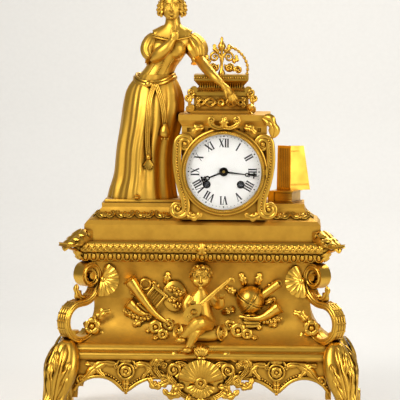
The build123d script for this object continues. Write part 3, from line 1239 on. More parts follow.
def dial_ring():
    """Ring on the pedestal's front, with the dial's rebate and a sleeve in the bore."""
    seat = RING_FRONT + DIAL_DEPTH + DIAL_THICK
    inner, sleeve = BORE_RADIUS - SEAT_GAP - RING_SLEEVE, BORE_RADIUS - SEAT_GAP
    rebate = DIAL_RADIUS + SEAT_GAP
    ring = turned([(RING_RADIUS, -PEDESTAL_FRONT, 0), (RING_RADIUS, RING_FRONT + RING_THICK / 4, 0.2),
                   (RING_RADIUS - RING_THICK / 4, RING_FRONT, 0), (rebate, RING_FRONT, 0),
                   (rebate, seat, 0), (inner, seat, 0), (inner, PLATE_FRONT, 0),
                   (sleeve, PLATE_FRONT, 0), (sleeve, -PEDESTAL_FRONT, 0)])
    return joined([ring, *fixed_knuckles(*hinge_place(BEZEL_RADIUS, 1, RING_FRONT, -1),
                                         RING_FRONT + HINGE_KNUCKLE)])


def ring_space():
    """The space in front of the pedestal that the ring takes."""
    return rod(PEDESTAL_X, DIAL_Z, RING_RADIUS + SEAT_GAP, RING_FRONT - OVERRUN, -PEDESTAL_FRONT + OVERRUN)


def winding_places():
    """Centres of the going and the strike arbor, right and left below the dial's middle."""
    return [(PEDESTAL_X + side * WINDING_X, DIAL_Z - WINDING_DROP) for side in (1, -1)]


def dial():
    """Domed enamel dial with a centre hole and two winding holes."""
    edge = RING_FRONT + DIAL_DEPTH
    bulge = cap_bulge(DIAL_RADIUS, DIAL_DOME)
    plate = turned([(0, DIAL_FRONT, -bulge), (DIAL_RADIUS, edge, 0), (DIAL_RADIUS, edge + DIAL_THICK, bulge),
                    (0, DIAL_FRONT + DIAL_THICK, 0)])
    holes = [rod(x, z, WINDING_HOLE_RADIUS, DIAL_FRONT - OVERRUN, edge + OVERRUN)
             for x, z in ((PEDESTAL_X, DIAL_Z), *winding_places())]
    return plate.cut(*holes)


def glass_bezel():
    """Hinged bezel with a rebate for the glass behind its sight edge."""
    front, back = RING_FRONT - BEZEL_THICK, RING_FRONT - SEAT_GAP
    glass = front + GLASS_DEPTH - GLASS_SEAT
    rebate = GLASS_RADIUS + SEAT_GAP
    rim = turned([(BEZEL_RADIUS, back, 0), (BEZEL_RADIUS, front + BEZEL_THICK / 2, 0.2),
                  ((BEZEL_RADIUS + DIAL_SIGHT_RADIUS) / 2, front, 0), (DIAL_SIGHT_RADIUS, glass, 0),
                  (rebate, glass, 0), (rebate, back, 0)])
    x, y = hinge_place(BEZEL_RADIUS, 1, RING_FRONT, -1)
    arm = moving_knuckle(x, y, PEDESTAL_X + (BEZEL_RADIUS + rebate) / 2, -1)
    return joined([rim, arm])


def dial_glass():
    """Domed glass held in the bezel."""
    edge = RING_FRONT - BEZEL_THICK + GLASS_DEPTH
    bulge = cap_bulge(GLASS_RADIUS, GLASS_DOME)
    return turned([(0, edge - GLASS_DOME, -bulge), (GLASS_RADIUS, edge, 0),
                   (GLASS_RADIUS, edge + GLASS_THICK, bulge), (0, edge - GLASS_DOME + GLASS_THICK, 0)])


def rear_ring():
    """Ring on the pedestal's back that carries the door and the straps."""
    inner, sleeve = BORE_RADIUS - SEAT_GAP - RING_SLEEVE, BORE_RADIUS - SEAT_GAP
    back = PEDESTAL_BACK + REAR_RING_THICK
    ring = turned([(inner, back, 0), (inner, PEDESTAL_BACK - RING_SLEEVE_LENGTH, 0),
                   (sleeve, PEDESTAL_BACK - RING_SLEEVE_LENGTH, 0), (sleeve, PEDESTAL_BACK, 0),
                   (REAR_RING_RADIUS, PEDESTAL_BACK, 0), (REAR_RING_RADIUS, back, 0)])
    return joined([ring, *fixed_knuckles(*hinge_place(DOOR_RADIUS, -1, back, 1), back - HINGE_KNUCKLE)])


def back_door():
    """Round door with a raised rim, hinged on the rear ring."""
    seat = PEDESTAL_BACK + REAR_RING_THICK + SEAT_GAP
    rim = DOOR_RADIUS - DOOR_BEAD
    door = turned([(0, seat, 0), (DOOR_RADIUS, seat, 0), (DOOR_RADIUS, seat + DOOR_BEAD, 0),
                   (rim, seat + DOOR_BEAD, 0), (rim, seat + DOOR_THICK, 0), (0, seat + DOOR_THICK, 0)])
    x, y = hinge_place(DOOR_RADIUS, -1, seat - SEAT_GAP, 1)
    return joined([door, moving_knuckle(x, y, PEDESTAL_X - DOOR_RADIUS + DOOR_BEAD / 2, 1)])


def hinge_pins():
    """Pins of the bezel's and the door's hinges."""
    low, high = knuckle_spans()[1][0][0], knuckle_spans()[1][1][1]
    places = [hinge_place(BEZEL_RADIUS, 1, RING_FRONT, -1),
              hinge_place(DOOR_RADIUS, -1, PEDESTAL_BACK + REAR_RING_THICK, 1)]
    return Compound(children=[
        *[extrude(Plane(origin=(x, y, low)) * Circle(HINGE_PIN), amount=high - low).solid()
          for x, y in places]])


def movement_straps():
    """Two straps that draw the dial ring and the rear ring together through the bore."""
    inner = BORE_RADIUS - SEAT_GAP * 4 - STRAP_THICK
    back = PEDESTAL_BACK - RING_SLEEVE_LENGTH
    straps = [block(sorted((PEDESTAL_X + side * inner, PEDESTAL_X + side * (inner + STRAP_THICK))),
                    (PLATE_FRONT, back), (DIAL_Z - STRAP_WIDTH / 2, DIAL_Z + STRAP_WIDTH / 2))
              for side in (-1, 1)]
    return Compound(children=[strap.solid() for strap in straps])


# Movement


def polar(origin, radius, degrees):
    """A point at a distance and direction from another, in X and Z."""
    angle = math.radians(degrees)
    return origin[0] + radius * math.cos(angle), origin[1] + radius * math.sin(angle)


def direction(start, end):
    """Direction in degrees from one point to another, in X and Z."""
    return math.degrees(math.atan2(end[1] - start[1], end[0] - start[0]))


def centre_distance(teeth, leaves, module):
    """Distance of two arbors whose wheel and pinion mesh."""
    return module * (teeth + leaves) / 2


def arbor_between(first, first_distance, second, second_distance, turn):
    """The arbor at given distances from two others; turn picks the side."""
    span = math.dist(first, second)
    along = (first_distance ** 2 - second_distance ** 2 + span ** 2) / (2 * span)
    across = math.sqrt(first_distance ** 2 - along ** 2)
    angle = direction(first, second)
    foot = polar(first, along, angle)
    return polar(foot, across, angle + turn)


def meshed_phase(phase, teeth, leaves, heading):
    """Phase of a pinion that meshes with a wheel lying the other way along a heading."""
    return heading + 180 + 180 / leaves - (phase - heading) * teeth / leaves


GOING, STRIKE = winding_places()
CENTRE = (PEDESTAL_X, DIAL_Z)
GREAT_DISTANCE = centre_distance(GREAT_TEETH, SECOND_LEAVES, GREAT_MODULE)
INTERMEDIATE_DISTANCE = centre_distance(INTERMEDIATE_TEETH, CENTRE_LEAVES, INTERMEDIATE_MODULE)
INTERMEDIATE = arbor_between(CENTRE, INTERMEDIATE_DISTANCE, GOING, GREAT_DISTANCE, 90)
STRIKE_SECOND = (2 * PEDESTAL_X - INTERMEDIATE[0], INTERMEDIATE[1])
THIRD = polar(CENTRE, centre_distance(CENTRE_TEETH, THIRD_LEAVES, CENTRE_MODULE), 90)
ESCAPE = polar(THIRD, centre_distance(THIRD_TEETH, ESCAPE_LEAVES, THIRD_MODULE), 90)
ANCHOR = polar(ESCAPE, ANCHOR_RISE, 90)
PIN_WHEEL = polar(STRIKE_SECOND, centre_distance(STRIKE_TEETH, PIN_LEAVES, STRIKE_MODULE), PIN_WHEEL_ANGLE)
FLY = polar(PIN_WHEEL, centre_distance(PIN_TEETH, FLY_LEAVES, PIN_MODULE), FLY_ANGLE)
MINUTE_POST = polar(CENTRE, centre_distance(MINUTE_TEETH, CANNON_LEAVES, MOTION_MODULE), MINUTE_WHEEL_ANGLE)
HAMMER = (PEDESTAL_X - HAMMER_X, DIAL_Z + HAMMER_RISE)
BELL = (PEDESTAL_X, DIAL_Z - BELL_DROP)


def toothed(teeth, corners, phase):
    """A face whose teeth repeat corners of (radius, share of the pitch)."""
    pitch = 360 / teeth
    points = [polar((0, 0), radius, phase + (tooth + share) * pitch)
              for tooth in range(teeth) for radius, share in corners]
    return Polygon(*points, align=None)


def solid_wheel_face(teeth, module, phase):
    """A plain disc with pointed teeth."""
    addendum, dedendum, root = WHEEL_TOOTH_SHARES
    radius = module * teeth / 2
    low, high = radius - dedendum * module, radius + addendum * module
    return toothed(teeth, [(low, -root), (high, 0), (low, root)], phase)


def wheel_face(teeth, module, phase):
    """A wheel with pointed teeth and crossed spokes."""
    radius = module * teeth / 2
    inside = radius - WHEEL_TOOTH_SHARES[1] * module - RIM_WIDTH
    window = Circle(inside) - Circle(HUB_RADIUS + RIM_WIDTH / 2)
    for spoke in range(SPOKES // 2):
        window -= Rot(0, 0, spoke * 360 / SPOKES) * Rectangle(2 * radius, SPOKE_WIDTH)
    return solid_wheel_face(teeth, module, phase) - window


def leaf_face(leaves, module, phase):
    """A pinion of straight-sided leaves."""
    addendum, dedendum, root, tip = LEAF_TOOTH_SHARES
    radius = module * leaves / 2
    low, high = radius - dedendum * module, radius + addendum * module
    return toothed(leaves, [(low, -root), (high, -tip), (high, tip), (low, root)], phase)


def arbor(place, back=PLATE_BACK):
    """A plain arbor with a pivot in each plate."""
    x, z = place
    return [rod(x, z, ARBOR_RADIUS, TRAIN_FRONT + END_SHAKE, TRAIN_BACK - END_SHAKE),
            rod(x, z, PIVOT_RADIUS, PLATE_FRONT, back)]


def wheel_at(place, teeth, module, phase, depth):
    """A wheel in the train, its middle at a depth behind the front plate."""
    y = TRAIN_FRONT + depth
    return slab(Pos(*place) * wheel_face(teeth, module, phase), y - WHEEL_THICK / 2, y + WHEEL_THICK / 2)


def pinion_at(place, leaves, module, phase, depth):
    """A pinion in the train, its middle at a depth behind the front plate."""
    y = TRAIN_FRONT + depth
    return slab(Pos(*place) * leaf_face(leaves, module, phase), y - LEAF_LENGTH / 2, y + LEAF_LENGTH / 2)


GREAT_DEPTH = BARREL_DEPTH + LEAF_LENGTH / 2
GREAT_PHASE = 0
INTERMEDIATE_PHASE = meshed_phase(GREAT_PHASE, GREAT_TEETH, SECOND_LEAVES, direction(GOING, INTERMEDIATE))
CENTRE_PHASE = meshed_phase(INTERMEDIATE_PHASE, INTERMEDIATE_TEETH, CENTRE_LEAVES,
                            direction(INTERMEDIATE, CENTRE))
THIRD_PHASE = meshed_phase(CENTRE_PHASE, CENTRE_TEETH, THIRD_LEAVES, direction(CENTRE, THIRD))
ESCAPE_PHASE = meshed_phase(THIRD_PHASE, THIRD_TEETH, ESCAPE_LEAVES, direction(THIRD, ESCAPE))
STRIKE_PHASE = meshed_phase(GREAT_PHASE, GREAT_TEETH, SECOND_LEAVES, direction(STRIKE, STRIKE_SECOND))
PIN_PHASE = meshed_phase(STRIKE_PHASE, STRIKE_TEETH, PIN_LEAVES, direction(STRIKE_SECOND, PIN_WHEEL))
FLY_PHASE = meshed_phase(PIN_PHASE, PIN_TEETH, FLY_LEAVES, direction(PIN_WHEEL, FLY))
MINUTE_PHASE = MINUTE_WHEEL_ANGLE + 180
CANNON_PHASE = meshed_phase(MINUTE_PHASE, MINUTE_TEETH, CANNON_LEAVES, MINUTE_WHEEL_ANGLE + 180)
MINUTE_LEAF_PHASE = 0
HOUR_PHASE = meshed_phase(MINUTE_LEAF_PHASE, MINUTE_LEAVES, HOUR_TEETH, MINUTE_WHEEL_ANGLE + 180)


def barrel(place):
    """Spring barrel with the great wheel's teeth round its front end."""
    front = TRAIN_FRONT + BARREL_DEPTH
    teeth = solid_wheel_face(GREAT_TEETH, GREAT_MODULE, GREAT_PHASE)
    drum = joined([slab(Pos(*place) * teeth, front, front + LEAF_LENGTH),
                   rod(*place, BARREL_RADIUS, front, front + BARREL_LENGTH)])
    return drum - rod(*place, BARREL_ARBOR + FIT, front - OVERRUN, front + BARREL_LENGTH + OVERRUN)


def ratchet_face():
    """A ratchet wheel of saw teeth."""
    low = RATCHET_RADIUS - RATCHET_CUT
    return toothed(RATCHET_TEETH, [(low, 0.02), (RATCHET_RADIUS, 0)], 0)


def winding_arbor(place):
    """Barrel arbor with its ratchet and the square that the key turns."""
    front = PLATE_FRONT - RATCHET_RISE
    shaft = rod(*place, BARREL_ARBOR, front, PLATE_BACK)
    ratchet = slab(Pos(*place) * ratchet_face(), front - RATCHET_THICK, front)
    square = slab(Pos(*place) * Rectangle(SQUARE_SIDE, SQUARE_SIDE),
                  RING_FRONT + DIAL_DEPTH - DIAL_DOME / 2 + SQUARE_DEPTH, front)
    return joined([shaft, ratchet, square])


def clicks():
    """A click beside each ratchet, its nose just clear of the teeth."""
    front = PLATE_FRONT - RATCHET_RISE
    solids = []
    for side, (x, z) in zip((1, -1), winding_places()):
        nose = x - side * (RATCHET_RADIUS + CLICK_CLEAR)
        arm = block(sorted((nose, nose - side * CLICK_WIDTH)), (front - RATCHET_THICK, PLATE_FRONT),
                    (z - CLICK_LENGTH, z))
        solids.append(arm.solid())
    return Compound(children=solids)


def pivot_places():
    """Every train arbor that runs in both plates."""
    return [INTERMEDIATE, CENTRE, THIRD, ESCAPE, ANCHOR, STRIKE_SECOND, PIN_WHEEL, FLY, HAMMER]


def plate(front):
    """A round plate bored for every arbor."""
    disc = rod(*CENTRE, PLATE_RADIUS, front, front + PLATE_THICK)
    low, high = front - OVERRUN, front + OVERRUN
    holes = [rod(*place, PIVOT_RADIUS + FIT, low, high) for place in pivot_places()]
    holes += [rod(*place, BARREL_ARBOR + FIT, low, high) for place in winding_places()]
    return disc.cut(*holes)


def front_plate():
    """Front plate with the minute wheel's post and a hole for the centre arbor."""
    hole = rod(*CENTRE, CANNON_RADIUS + FIT, PLATE_FRONT - OVERRUN, PLATE_FRONT + OVERRUN)
    top = PLATE_FRONT - CANNON_RISE - HOUR_RISE - LEAF_LENGTH
    post = rod(*MINUTE_POST, ARBOR_RADIUS, top, PLATE_FRONT + PLATE_THICK / 2)
    return joined([plate(PLATE_FRONT), post]) - hole


def back_plate():
    """Back plate with wide holes where the anchor and the hammer pass through."""
    wide = [rod(*place, ARBOR_RADIUS + FIT, TRAIN_BACK - OVERRUN, PLATE_BACK + OVERRUN)
            for place in (ANCHOR, HAMMER)]
    return plate(TRAIN_BACK).cut(*wide)


def plate_pillars():
    """Pillars that hold the plates apart."""
    pillars = [rod(*polar(CENTRE, PILLAR_CIRCLE, angle), PILLAR_RADIUS, TRAIN_FRONT, TRAIN_BACK)
               for angle in PILLAR_ANGLES]
    return Compound(children=[pillar.solid() for pillar in pillars])


def intermediate_wheel():
    """Pinion driven by the going barrel, and the wheel that drives the centre pinion."""
    return joined([*arbor(INTERMEDIATE),
                   pinion_at(INTERMEDIATE, SECOND_LEAVES, GREAT_MODULE, INTERMEDIATE_PHASE, GREAT_DEPTH),
                   rod(*INTERMEDIATE, HUB_RADIUS, TRAIN_FRONT + INTERMEDIATE_DEPTH,
                       TRAIN_FRONT + INTERMEDIATE_DEPTH + HUB_RADIUS),
                   wheel_at(INTERMEDIATE, INTERMEDIATE_TEETH, INTERMEDIATE_MODULE, INTERMEDIATE_PHASE,
                            INTERMEDIATE_DEPTH)])


def centre_wheel():
    """Centre arbor with its pinion, wheel and cannon pinion; it turns once an hour."""
    cannon = PLATE_FRONT - CANNON_RISE
    leaves = slab(Pos(*CENTRE) * leaf_face(CANNON_LEAVES, MOTION_MODULE, CANNON_PHASE),
                  cannon - LEAF_LENGTH, cannon)
    return joined([rod(*CENTRE, CANNON_RADIUS, MINUTE_HAND_FRONT, TRAIN_BACK - END_SHAKE),
                   rod(*CENTRE, PIVOT_RADIUS, TRAIN_FRONT, PLATE_BACK), leaves,
                   pinion_at(CENTRE, CENTRE_LEAVES, INTERMEDIATE_MODULE, CENTRE_PHASE, INTERMEDIATE_DEPTH),
                   wheel_at(CENTRE, CENTRE_TEETH, CENTRE_MODULE, CENTRE_PHASE, CENTRE_DEPTH)])


def third_wheel():
    """Third wheel: driven by the centre wheel, drives the escape pinion."""
    return joined([*arbor(THIRD), pinion_at(THIRD, THIRD_LEAVES, CENTRE_MODULE, THIRD_PHASE, CENTRE_DEPTH),
                   wheel_at(THIRD, THIRD_TEETH, THIRD_MODULE, THIRD_PHASE, THIRD_DEPTH)])


def escape_wheel():
    """Escape wheel with raked, pointed teeth."""
    y = TRAIN_FRONT + ESCAPE_DEPTH
    low = ESCAPE_RADIUS - RIM_WIDTH
    face = toothed(ESCAPE_TEETH, [(low, 0), (ESCAPE_RADIUS, 0.6)], 0)
    face -= Circle(low - RIM_WIDTH) - Circle(HUB_RADIUS) - Rectangle(2 * low, SPOKE_WIDTH)
    return joined([*arbor(ESCAPE), slab(Pos(*ESCAPE) * face, y - WHEEL_THICK / 2, y + WHEEL_THICK / 2),
                   pinion_at(ESCAPE, ESCAPE_LEAVES, THIRD_MODULE, ESCAPE_PHASE, THIRD_DEPTH)])


def motion_arbor_hole(place):
    """The bore of a wheel that runs on a post in front of the front plate."""
    return rod(*place, ARBOR_RADIUS + FIT, PLATE_FRONT - OVERRUN, PLATE_FRONT + OVERRUN)


def minute_wheel():
    """Minute wheel and its pinion, running on a post."""
    middle = PLATE_FRONT - CANNON_RISE - LEAF_LENGTH / 2
    wheel = slab(Pos(*MINUTE_POST) * wheel_face(MINUTE_TEETH, MOTION_MODULE, MINUTE_PHASE),
                 middle - WHEEL_THICK / 2, middle + WHEEL_THICK / 2)
    front = PLATE_FRONT - CANNON_RISE - HOUR_RISE - HOUR_WHEEL_THICK
    leaves = leaf_face(MINUTE_LEAVES, MOTION_MODULE, MINUTE_LEAF_PHASE)
    leaves = slab(Pos(*MINUTE_POST) * leaves, front, middle)
    return joined([wheel, leaves]) - motion_arbor_hole(MINUTE_POST)


def hour_pipe_radius():
    """Outside of the hour wheel's pipe, which runs on the centre arbor."""
    return CANNON_RADIUS + 2 * FIT + PIPE_WALL


def hour_wheel():
    """Hour wheel on a pipe round the centre arbor."""
    back = PLATE_FRONT - CANNON_RISE - HOUR_RISE
    wheel = slab(Pos(*CENTRE) * solid_wheel_face(HOUR_TEETH, MOTION_MODULE, HOUR_PHASE),
                 back - HOUR_WHEEL_THICK, back)
    pipe = rod(*CENTRE, hour_pipe_radius(), HOUR_HAND_FRONT, back)
    bore = rod(*CENTRE, CANNON_RADIUS + 2 * FIT, HOUR_HAND_FRONT - OVERRUN, back + OVERRUN)
    return joined([wheel, pipe]) - bore


def hand_face(length, hub, bore):
    """A hand pointing up: a hub, a narrowing blade, a pierced loop and a trefoil before the tip."""
    waist, loop_place = length * HAND_WAIST_SHARE, Pos(0, length * HAND_LOOP_SHARE)
    blade = Polygon((HAND_WIDTH / 2, 0), (HAND_WIDTH / 4, waist), (0, length), (-HAND_WIDTH / 4, waist),
                    (-HAND_WIDTH / 2, 0), align=None)
    loop, hole = loop_place * Circle(HAND_RING), loop_place * Circle(HAND_RING / 2)
    out, leaf = (share * HAND_WIDTH for share in TREFOIL_SHARES)
    leaf_place, top_place = (share * length for share in HAND_LEAF_SHARES)
    leaves = [Pos(side * out, leaf_place) * Circle(leaf) for side in (-1, 1)]
    top = Pos(0, top_place) * Circle(leaf)
    return (blade + loop + leaves + top + Circle(hub)) - hole - Circle(bore)


def hour_hand():
    """Hour hand on the hour pipe."""
    bore = hour_pipe_radius()
    face = hand_face(HOUR_HAND_LENGTH, bore + PIPE_WALL * 2, bore)
    return slab(Pos(*CENTRE) * Rot(0, 0, -HOUR_HAND_ANGLE) * face, HOUR_HAND_FRONT,
                HOUR_HAND_FRONT + HAND_THICK)


def minute_hand():
    """Minute hand with its boss on the end of the centre arbor."""
    face = hand_face(MINUTE_HAND_LENGTH, BOSS_RADIUS / 2, CANNON_RADIUS)
    blade = slab(Pos(*CENTRE) * Rot(0, 0, -MINUTE_HAND_ANGLE) * face, MINUTE_HAND_FRONT,
                 MINUTE_HAND_FRONT + HAND_THICK)
    boss = rod(*CENTRE, BOSS_RADIUS, MINUTE_HAND_FRONT - BOSS_THICK, MINUTE_HAND_FRONT)
    return joined([blade, boss])


def anchor():
    """Anchor, its arbor and the crutch that guides the pendulum."""
    y = TRAIN_FRONT + ESCAPE_DEPTH
    reach = ESCAPE_RADIUS + ANCHOR_CLEAR
    pieces = [rod(*ANCHOR, ARBOR_RADIUS, TRAIN_FRONT + END_SHAKE, PLATE_BACK + CRUTCH_REAR + COCK_THICK),
              rod(*ANCHOR, PIVOT_RADIUS, PLATE_FRONT, PLATE_BACK + CRUTCH_REAR + 2 * COCK_THICK + END_SHAKE)]
    inner, outer = (polar((0, -ANCHOR_RISE), reach + out, 90 - PALLET_ANGLE) for out in (0, PALLET_WIDTH))
    arm = Polygon(inner, outer, (0, HUB_RADIUS), (0, 0), (inner[0] - PALLET_WIDTH, inner[1] + PALLET_WIDTH),
                  align=None)
    arms = Circle(HUB_RADIUS) + arm + mirror(arm, about=Plane.YZ)
    arms -= Pos(0, -ANCHOR_RISE) * Circle(reach)
    pieces.append(slab(Pos(*ANCHOR) * arms, y - ANCHOR_THICK / 2, y + ANCHOR_THICK / 2))
    x, z = ANCHOR
    front, back = PLATE_BACK + CRUTCH_REAR - COCK_THICK / 2, PLATE_BACK + CRUTCH_REAR + COCK_THICK / 2
    bottom = z - CRUTCH_LENGTH
    prong = ROD_RADIUS + CRUTCH_GAP
    pieces.append(block((x - CRUTCH_WIDTH / 2, x + CRUTCH_WIDTH / 2), (front, back), (bottom, z)))
    pieces.append(block((x - prong - CRUTCH_WIDTH, x + prong + CRUTCH_WIDTH), (front, back),
                        (bottom - CRUTCH_WIDTH, bottom)))
    pieces += [block(sorted((x + side * prong, x + side * (prong + CRUTCH_WIDTH))),
                     (front, PENDULUM_Y + ROD_RADIUS), (bottom - CRUTCH_WIDTH, bottom)) for side in (-1, 1)]
    return joined(pieces)


def suspension_cock():
    """Bridge on the back plate that carries the anchor's rear pivot and the pendulum's spring."""
    x, z = ANCHOR
    front = PLATE_BACK + CRUTCH_REAR + COCK_THICK + END_SHAKE
    back = front + COCK_THICK
    half, width = COCK_WIDTH / 2, COCK_WIDTH / 4
    top = z + SUSPENSION_RISE
    pieces = [block((x - half, x + half), (front, back), (z - width, top))]
    pieces += [block(sorted((x + side * half, x + side * (half - width))), (PLATE_BACK, back),
                     (z - width, z)) for side in (-1, 1)]
    pieces.append(block((x - width / 2, x + width / 2), (back, PENDULUM_Y + width / 2),
                        (top - COCK_THICK, top)))
    pieces.append(block((x - SUSPENSION_SHEET / 2, x + SUSPENSION_SHEET / 2),
                        (PENDULUM_Y - width / 2, PENDULUM_Y + width / 2), (z + END_SHAKE, top)))
    return joined(pieces) - rod(x, z, PIVOT_RADIUS + FIT, PLATE_BACK, back + OVERRUN)


def pendulum_rod():
    """Rod with the block that hangs on the suspension, and the nut under the bob."""
    x, z = ANCHOR
    bottom = z - PENDULUM_LENGTH - BOB_RADIUS
    hook = block((x - ROD_RADIUS * 2, x + ROD_RADIUS * 2), (PENDULUM_Y - ROD_RADIUS, PENDULUM_Y + ROD_RADIUS),
                 (z - 4 * ROD_RADIUS, z))
    bar = extrude(Plane(origin=(x, PENDULUM_Y, bottom - 3 * ROD_RADIUS)) * Circle(ROD_RADIUS),
                  amount=z - bottom + 2 * ROD_RADIUS)
    nut = extrude(Plane(origin=(x, PENDULUM_Y, bottom - 2 * ROD_RADIUS)) * RegularPolygon(3 * ROD_RADIUS, 8),
                  amount=2 * ROD_RADIUS)
    return joined([hook, bar, nut])


def pendulum_bob():
    """Lens-shaped bob on the rod."""
    x, z = ANCHOR
    half, edge = BOB_THICK / 2, BOB_THICK / 6
    bulge = cap_bulge(BOB_RADIUS, half - edge)
    lens = turned([(0, PENDULUM_Y - half, -bulge), (BOB_RADIUS, PENDULUM_Y - edge, 0),
                   (BOB_RADIUS, PENDULUM_Y + edge, -bulge), (0, PENDULUM_Y + half, 0)],
                  x, z - PENDULUM_LENGTH)
    hole = extrude(Plane(origin=(x, PENDULUM_Y, z - PENDULUM_LENGTH)) * Circle(ROD_RADIUS),
                   amount=BOB_RADIUS + OVERRUN, both=True)
    return lens - hole


def bell():
    """Cup bell, its mouth towards the back plate."""
    mouth = PLATE_BACK + BELL_REAR
    crown = mouth + BELL_DEPTH
    neck = STAND_RADIUS + FIT
    inner = BELL_RADIUS - BELL_WALL
    return turned([(neck, crown, 0), (BELL_RADIUS / 2, crown, 0.12), (BELL_RADIUS, mouth + BELL_WALL, 0),
                   (BELL_RADIUS, mouth, 0), (inner, mouth, -0.12), (BELL_RADIUS / 2, crown - BELL_WALL, 0),
                   (neck, crown - BELL_WALL, 0)], *BELL)


def bell_stand():
    """Post on the back plate and an arm that carries the bell from behind."""
    x, z = BELL
    crown = PLATE_BACK + BELL_REAR + BELL_DEPTH
    back = crown + STAND_RADIUS
    post_x = x + STAND_X
    post = rod(post_x, z, STAND_RADIUS, PLATE_BACK, back)
    arm = block((x - STAND_RADIUS, post_x + STAND_RADIUS), (crown, back),
                (z - STAND_RADIUS, z + STAND_RADIUS))
    stud = rod(x, z, STAND_RADIUS, crown - 2 * BELL_WALL, back)
    return joined([post, arm, stud])


def hammer():
    """Hammer on its arbor, with a lifting tail that ends just short of the pin wheel's pins."""
    mouth = PLATE_BACK + BELL_REAR
    head_place = polar(BELL, BELL_RADIUS + HAMMER_GAP + HAMMER_HEAD, HAMMER_SIDE_ANGLE)
    head = rod(*head_place, HAMMER_HEAD, mouth, mouth + 2 * HAMMER_HEAD)
    length = math.dist(HAMMER, head_place)
    angle = direction(HAMMER, head_place)
    arm_face = Pos(*HAMMER) * Rot(0, 0, angle) * Pos(length / 2, 0) * Rectangle(length, CRUTCH_WIDTH)
    arm = slab(arm_face, mouth, mouth + CRUTCH_WIDTH)
    shaft = [rod(*HAMMER, ARBOR_RADIUS, TRAIN_FRONT + END_SHAKE, mouth + CRUTCH_WIDTH),
             rod(*HAMMER, PIVOT_RADIUS, PLATE_FRONT, TRAIN_FRONT + END_SHAKE),
             rod(*HAMMER, HUB_RADIUS, mouth, mouth + CRUTCH_WIDTH)]
    reach = math.dist(HAMMER, PIN_WHEEL) - PIN_MODULE * PIN_TEETH / 2
    tail_face = Pos(*HAMMER) * Rot(0, 0, direction(HAMMER, PIN_WHEEL)) * Pos(reach / 2, 0)
    y = TRAIN_FRONT + PIN_WHEEL_DEPTH + WHEEL_THICK
    tail = slab(tail_face * Rectangle(reach, CRUTCH_WIDTH), y, y + CRUTCH_WIDTH)
    return joined([head, arm, *shaft, tail])


def strike_second_wheel():
    """Second wheel of the strike: driven by its barrel, drives the pin wheel."""
    return joined([*arbor(STRIKE_SECOND),
                   pinion_at(STRIKE_SECOND, SECOND_LEAVES, GREAT_MODULE, STRIKE_PHASE, GREAT_DEPTH),
                   wheel_at(STRIKE_SECOND, STRIKE_TEETH, STRIKE_MODULE, STRIKE_PHASE, INTERMEDIATE_DEPTH)])


def pin_wheel():
    """Wheel whose pins lift the hammer."""
    radius = PIN_MODULE * PIN_TEETH / 2 - RIM_WIDTH
    y = TRAIN_FRONT + PIN_WHEEL_DEPTH
    pins = [rod(*polar(PIN_WHEEL, radius, step * 360 / LIFT_PINS), LIFT_PIN_RADIUS, y, y + LIFT_PIN_LENGTH)
            for step in range(LIFT_PINS)]
    return joined([*arbor(PIN_WHEEL),
                   pinion_at(PIN_WHEEL, PIN_LEAVES, STRIKE_MODULE, PIN_PHASE, INTERMEDIATE_DEPTH),
                   wheel_at(PIN_WHEEL, PIN_TEETH, PIN_MODULE, PIN_PHASE, PIN_WHEEL_DEPTH), *pins])


def fly():
    """Air brake of the strike."""
    front = TRAIN_FRONT + FLY_DEPTH
    sheet = Rectangle(2 * FLY_SPAN, FLY_SHEET) + Circle(HUB_RADIUS / 2)
    vane = slab(Pos(*FLY) * sheet, front, front + FLY_LENGTH)
    return joined([*arbor(FLY), pinion_at(FLY, FLY_LEAVES, PIN_MODULE, FLY_PHASE, PIN_WHEEL_DEPTH), vane])


def tie_rods():
    """Rods that draw the plinth's deck down on the cornice: a bar under its mouth, with nuts."""
    solids = []
    x = PLINTH_HALF_WIDTH - PLINTH_TOP_INSET - TIE_ROD_INSET
    y = BACK_REACH - TIE_ROD_INSET
    for side in (-1, 1):
        nut = Plane(origin=(side * x, y, BODY_TOP - TIE_BAR_THICK - TIE_NUT_THICK))
        stem = extrude(nut * Circle(TIE_ROD_RADIUS), amount=PLINTH_TOP - WALL - nut.origin.Z)
        hexagon = extrude(nut * RegularPolygon(TIE_NUT_RADIUS, 6), amount=TIE_NUT_THICK)
        end = CORNICE_HALF_WIDTH - TIE_BAR_INSET
        bar = block(sorted((side * (x - TIE_NUT_RADIUS), side * end)),
                    (y - TIE_NUT_RADIUS, y + TIE_NUT_RADIUS), (BODY_TOP - TIE_BAR_THICK, BODY_TOP))
        solids.append(joined([stem, hexagon, bar]).solid())
    return Compound(children=solids)


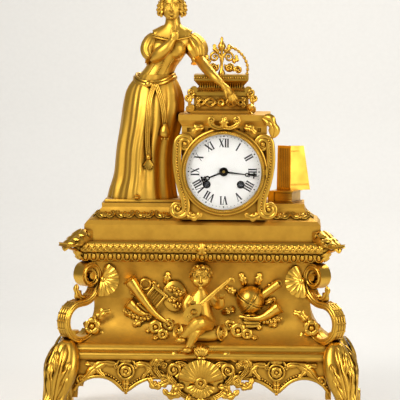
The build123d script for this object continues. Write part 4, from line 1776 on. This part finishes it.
def build_parts():
    """Every piece by its node name."""
    stands = feet()
    skirt, bodice = lady_skirt(), lady_bodice()
    head = lady_head(bodice)
    lid = casket_lid()
    return {
        "feet": stands, "aprons": aprons(stands), "apron_cartouche": apron_cartouche(),
        "base_frame": base_frame(), "base_body": base_body(), "cornice": cornice(), "plinth": plinth(),
        "scroll_brackets": scroll_brackets(stands), "trophy_left": trophy_left(),
        "trophy_right": trophy_right(),
        "cherub": cherub(), "lady_skirt": skirt, "lady_bodice": bodice, "lady_head": head,
        "lady_right_arm": lady_arm(RIGHT_SLEEVE_SHARES, RIGHT_FOREARM_SHARES, RIGHT_HAND_SHARES,
                                   (bodice, head)),
        "lady_left_arm": lady_arm(LEFT_SLEEVE_SHARES, LEFT_FOREARM_SHARES, LEFT_HAND_SHARES,
                                  (bodice, lid)),
        "lady_girdle": lady_girdle(), "pedestal": pedestal(),
        "dial_mounts": dial_mounts(ring_space()), "casket_box": casket_box(), "casket_lid": lid,
        "casket_cresting": casket_cresting(), "cup": cup(), "book_closed": book_closed(),
        "book_open": book_open(), "tie_rods": tie_rods(), "dial_ring": dial_ring(), "dial": dial(),
        "glass_bezel": glass_bezel(), "dial_glass": dial_glass(), "hinge_pins": hinge_pins(),
        "rear_ring": rear_ring(), "back_door": back_door(), "movement_straps": movement_straps(),
        "front_plate": front_plate(), "back_plate": back_plate(), "plate_pillars": plate_pillars(),
        "going_barrel": barrel(GOING), "strike_barrel": barrel(STRIKE),
        "going_winding_arbor": winding_arbor(GOING), "strike_winding_arbor": winding_arbor(STRIKE),
        "clicks": clicks(), "intermediate_wheel": intermediate_wheel(), "centre_wheel": centre_wheel(),
        "third_wheel": third_wheel(), "escape_wheel": escape_wheel(), "minute_wheel": minute_wheel(),
        "hour_wheel": hour_wheel(), "hour_hand": hour_hand(), "minute_hand": minute_hand(),
        "anchor": anchor(), "pendulum_rod": pendulum_rod(), "pendulum_bob": pendulum_bob(),
        "suspension_cock": suspension_cock(), "bell": bell(), "bell_stand": bell_stand(),
        "hammer": hammer(), "strike_second_wheel": strike_second_wheel(), "pin_wheel": pin_wheel(),
        "fly": fly()}


def main():
    os.makedirs("parts", exist_ok=True)
    for name, shape in build_parts().items():
        export_step(shape, f"parts/{name}.step")


if __name__ == "__main__":
    main()
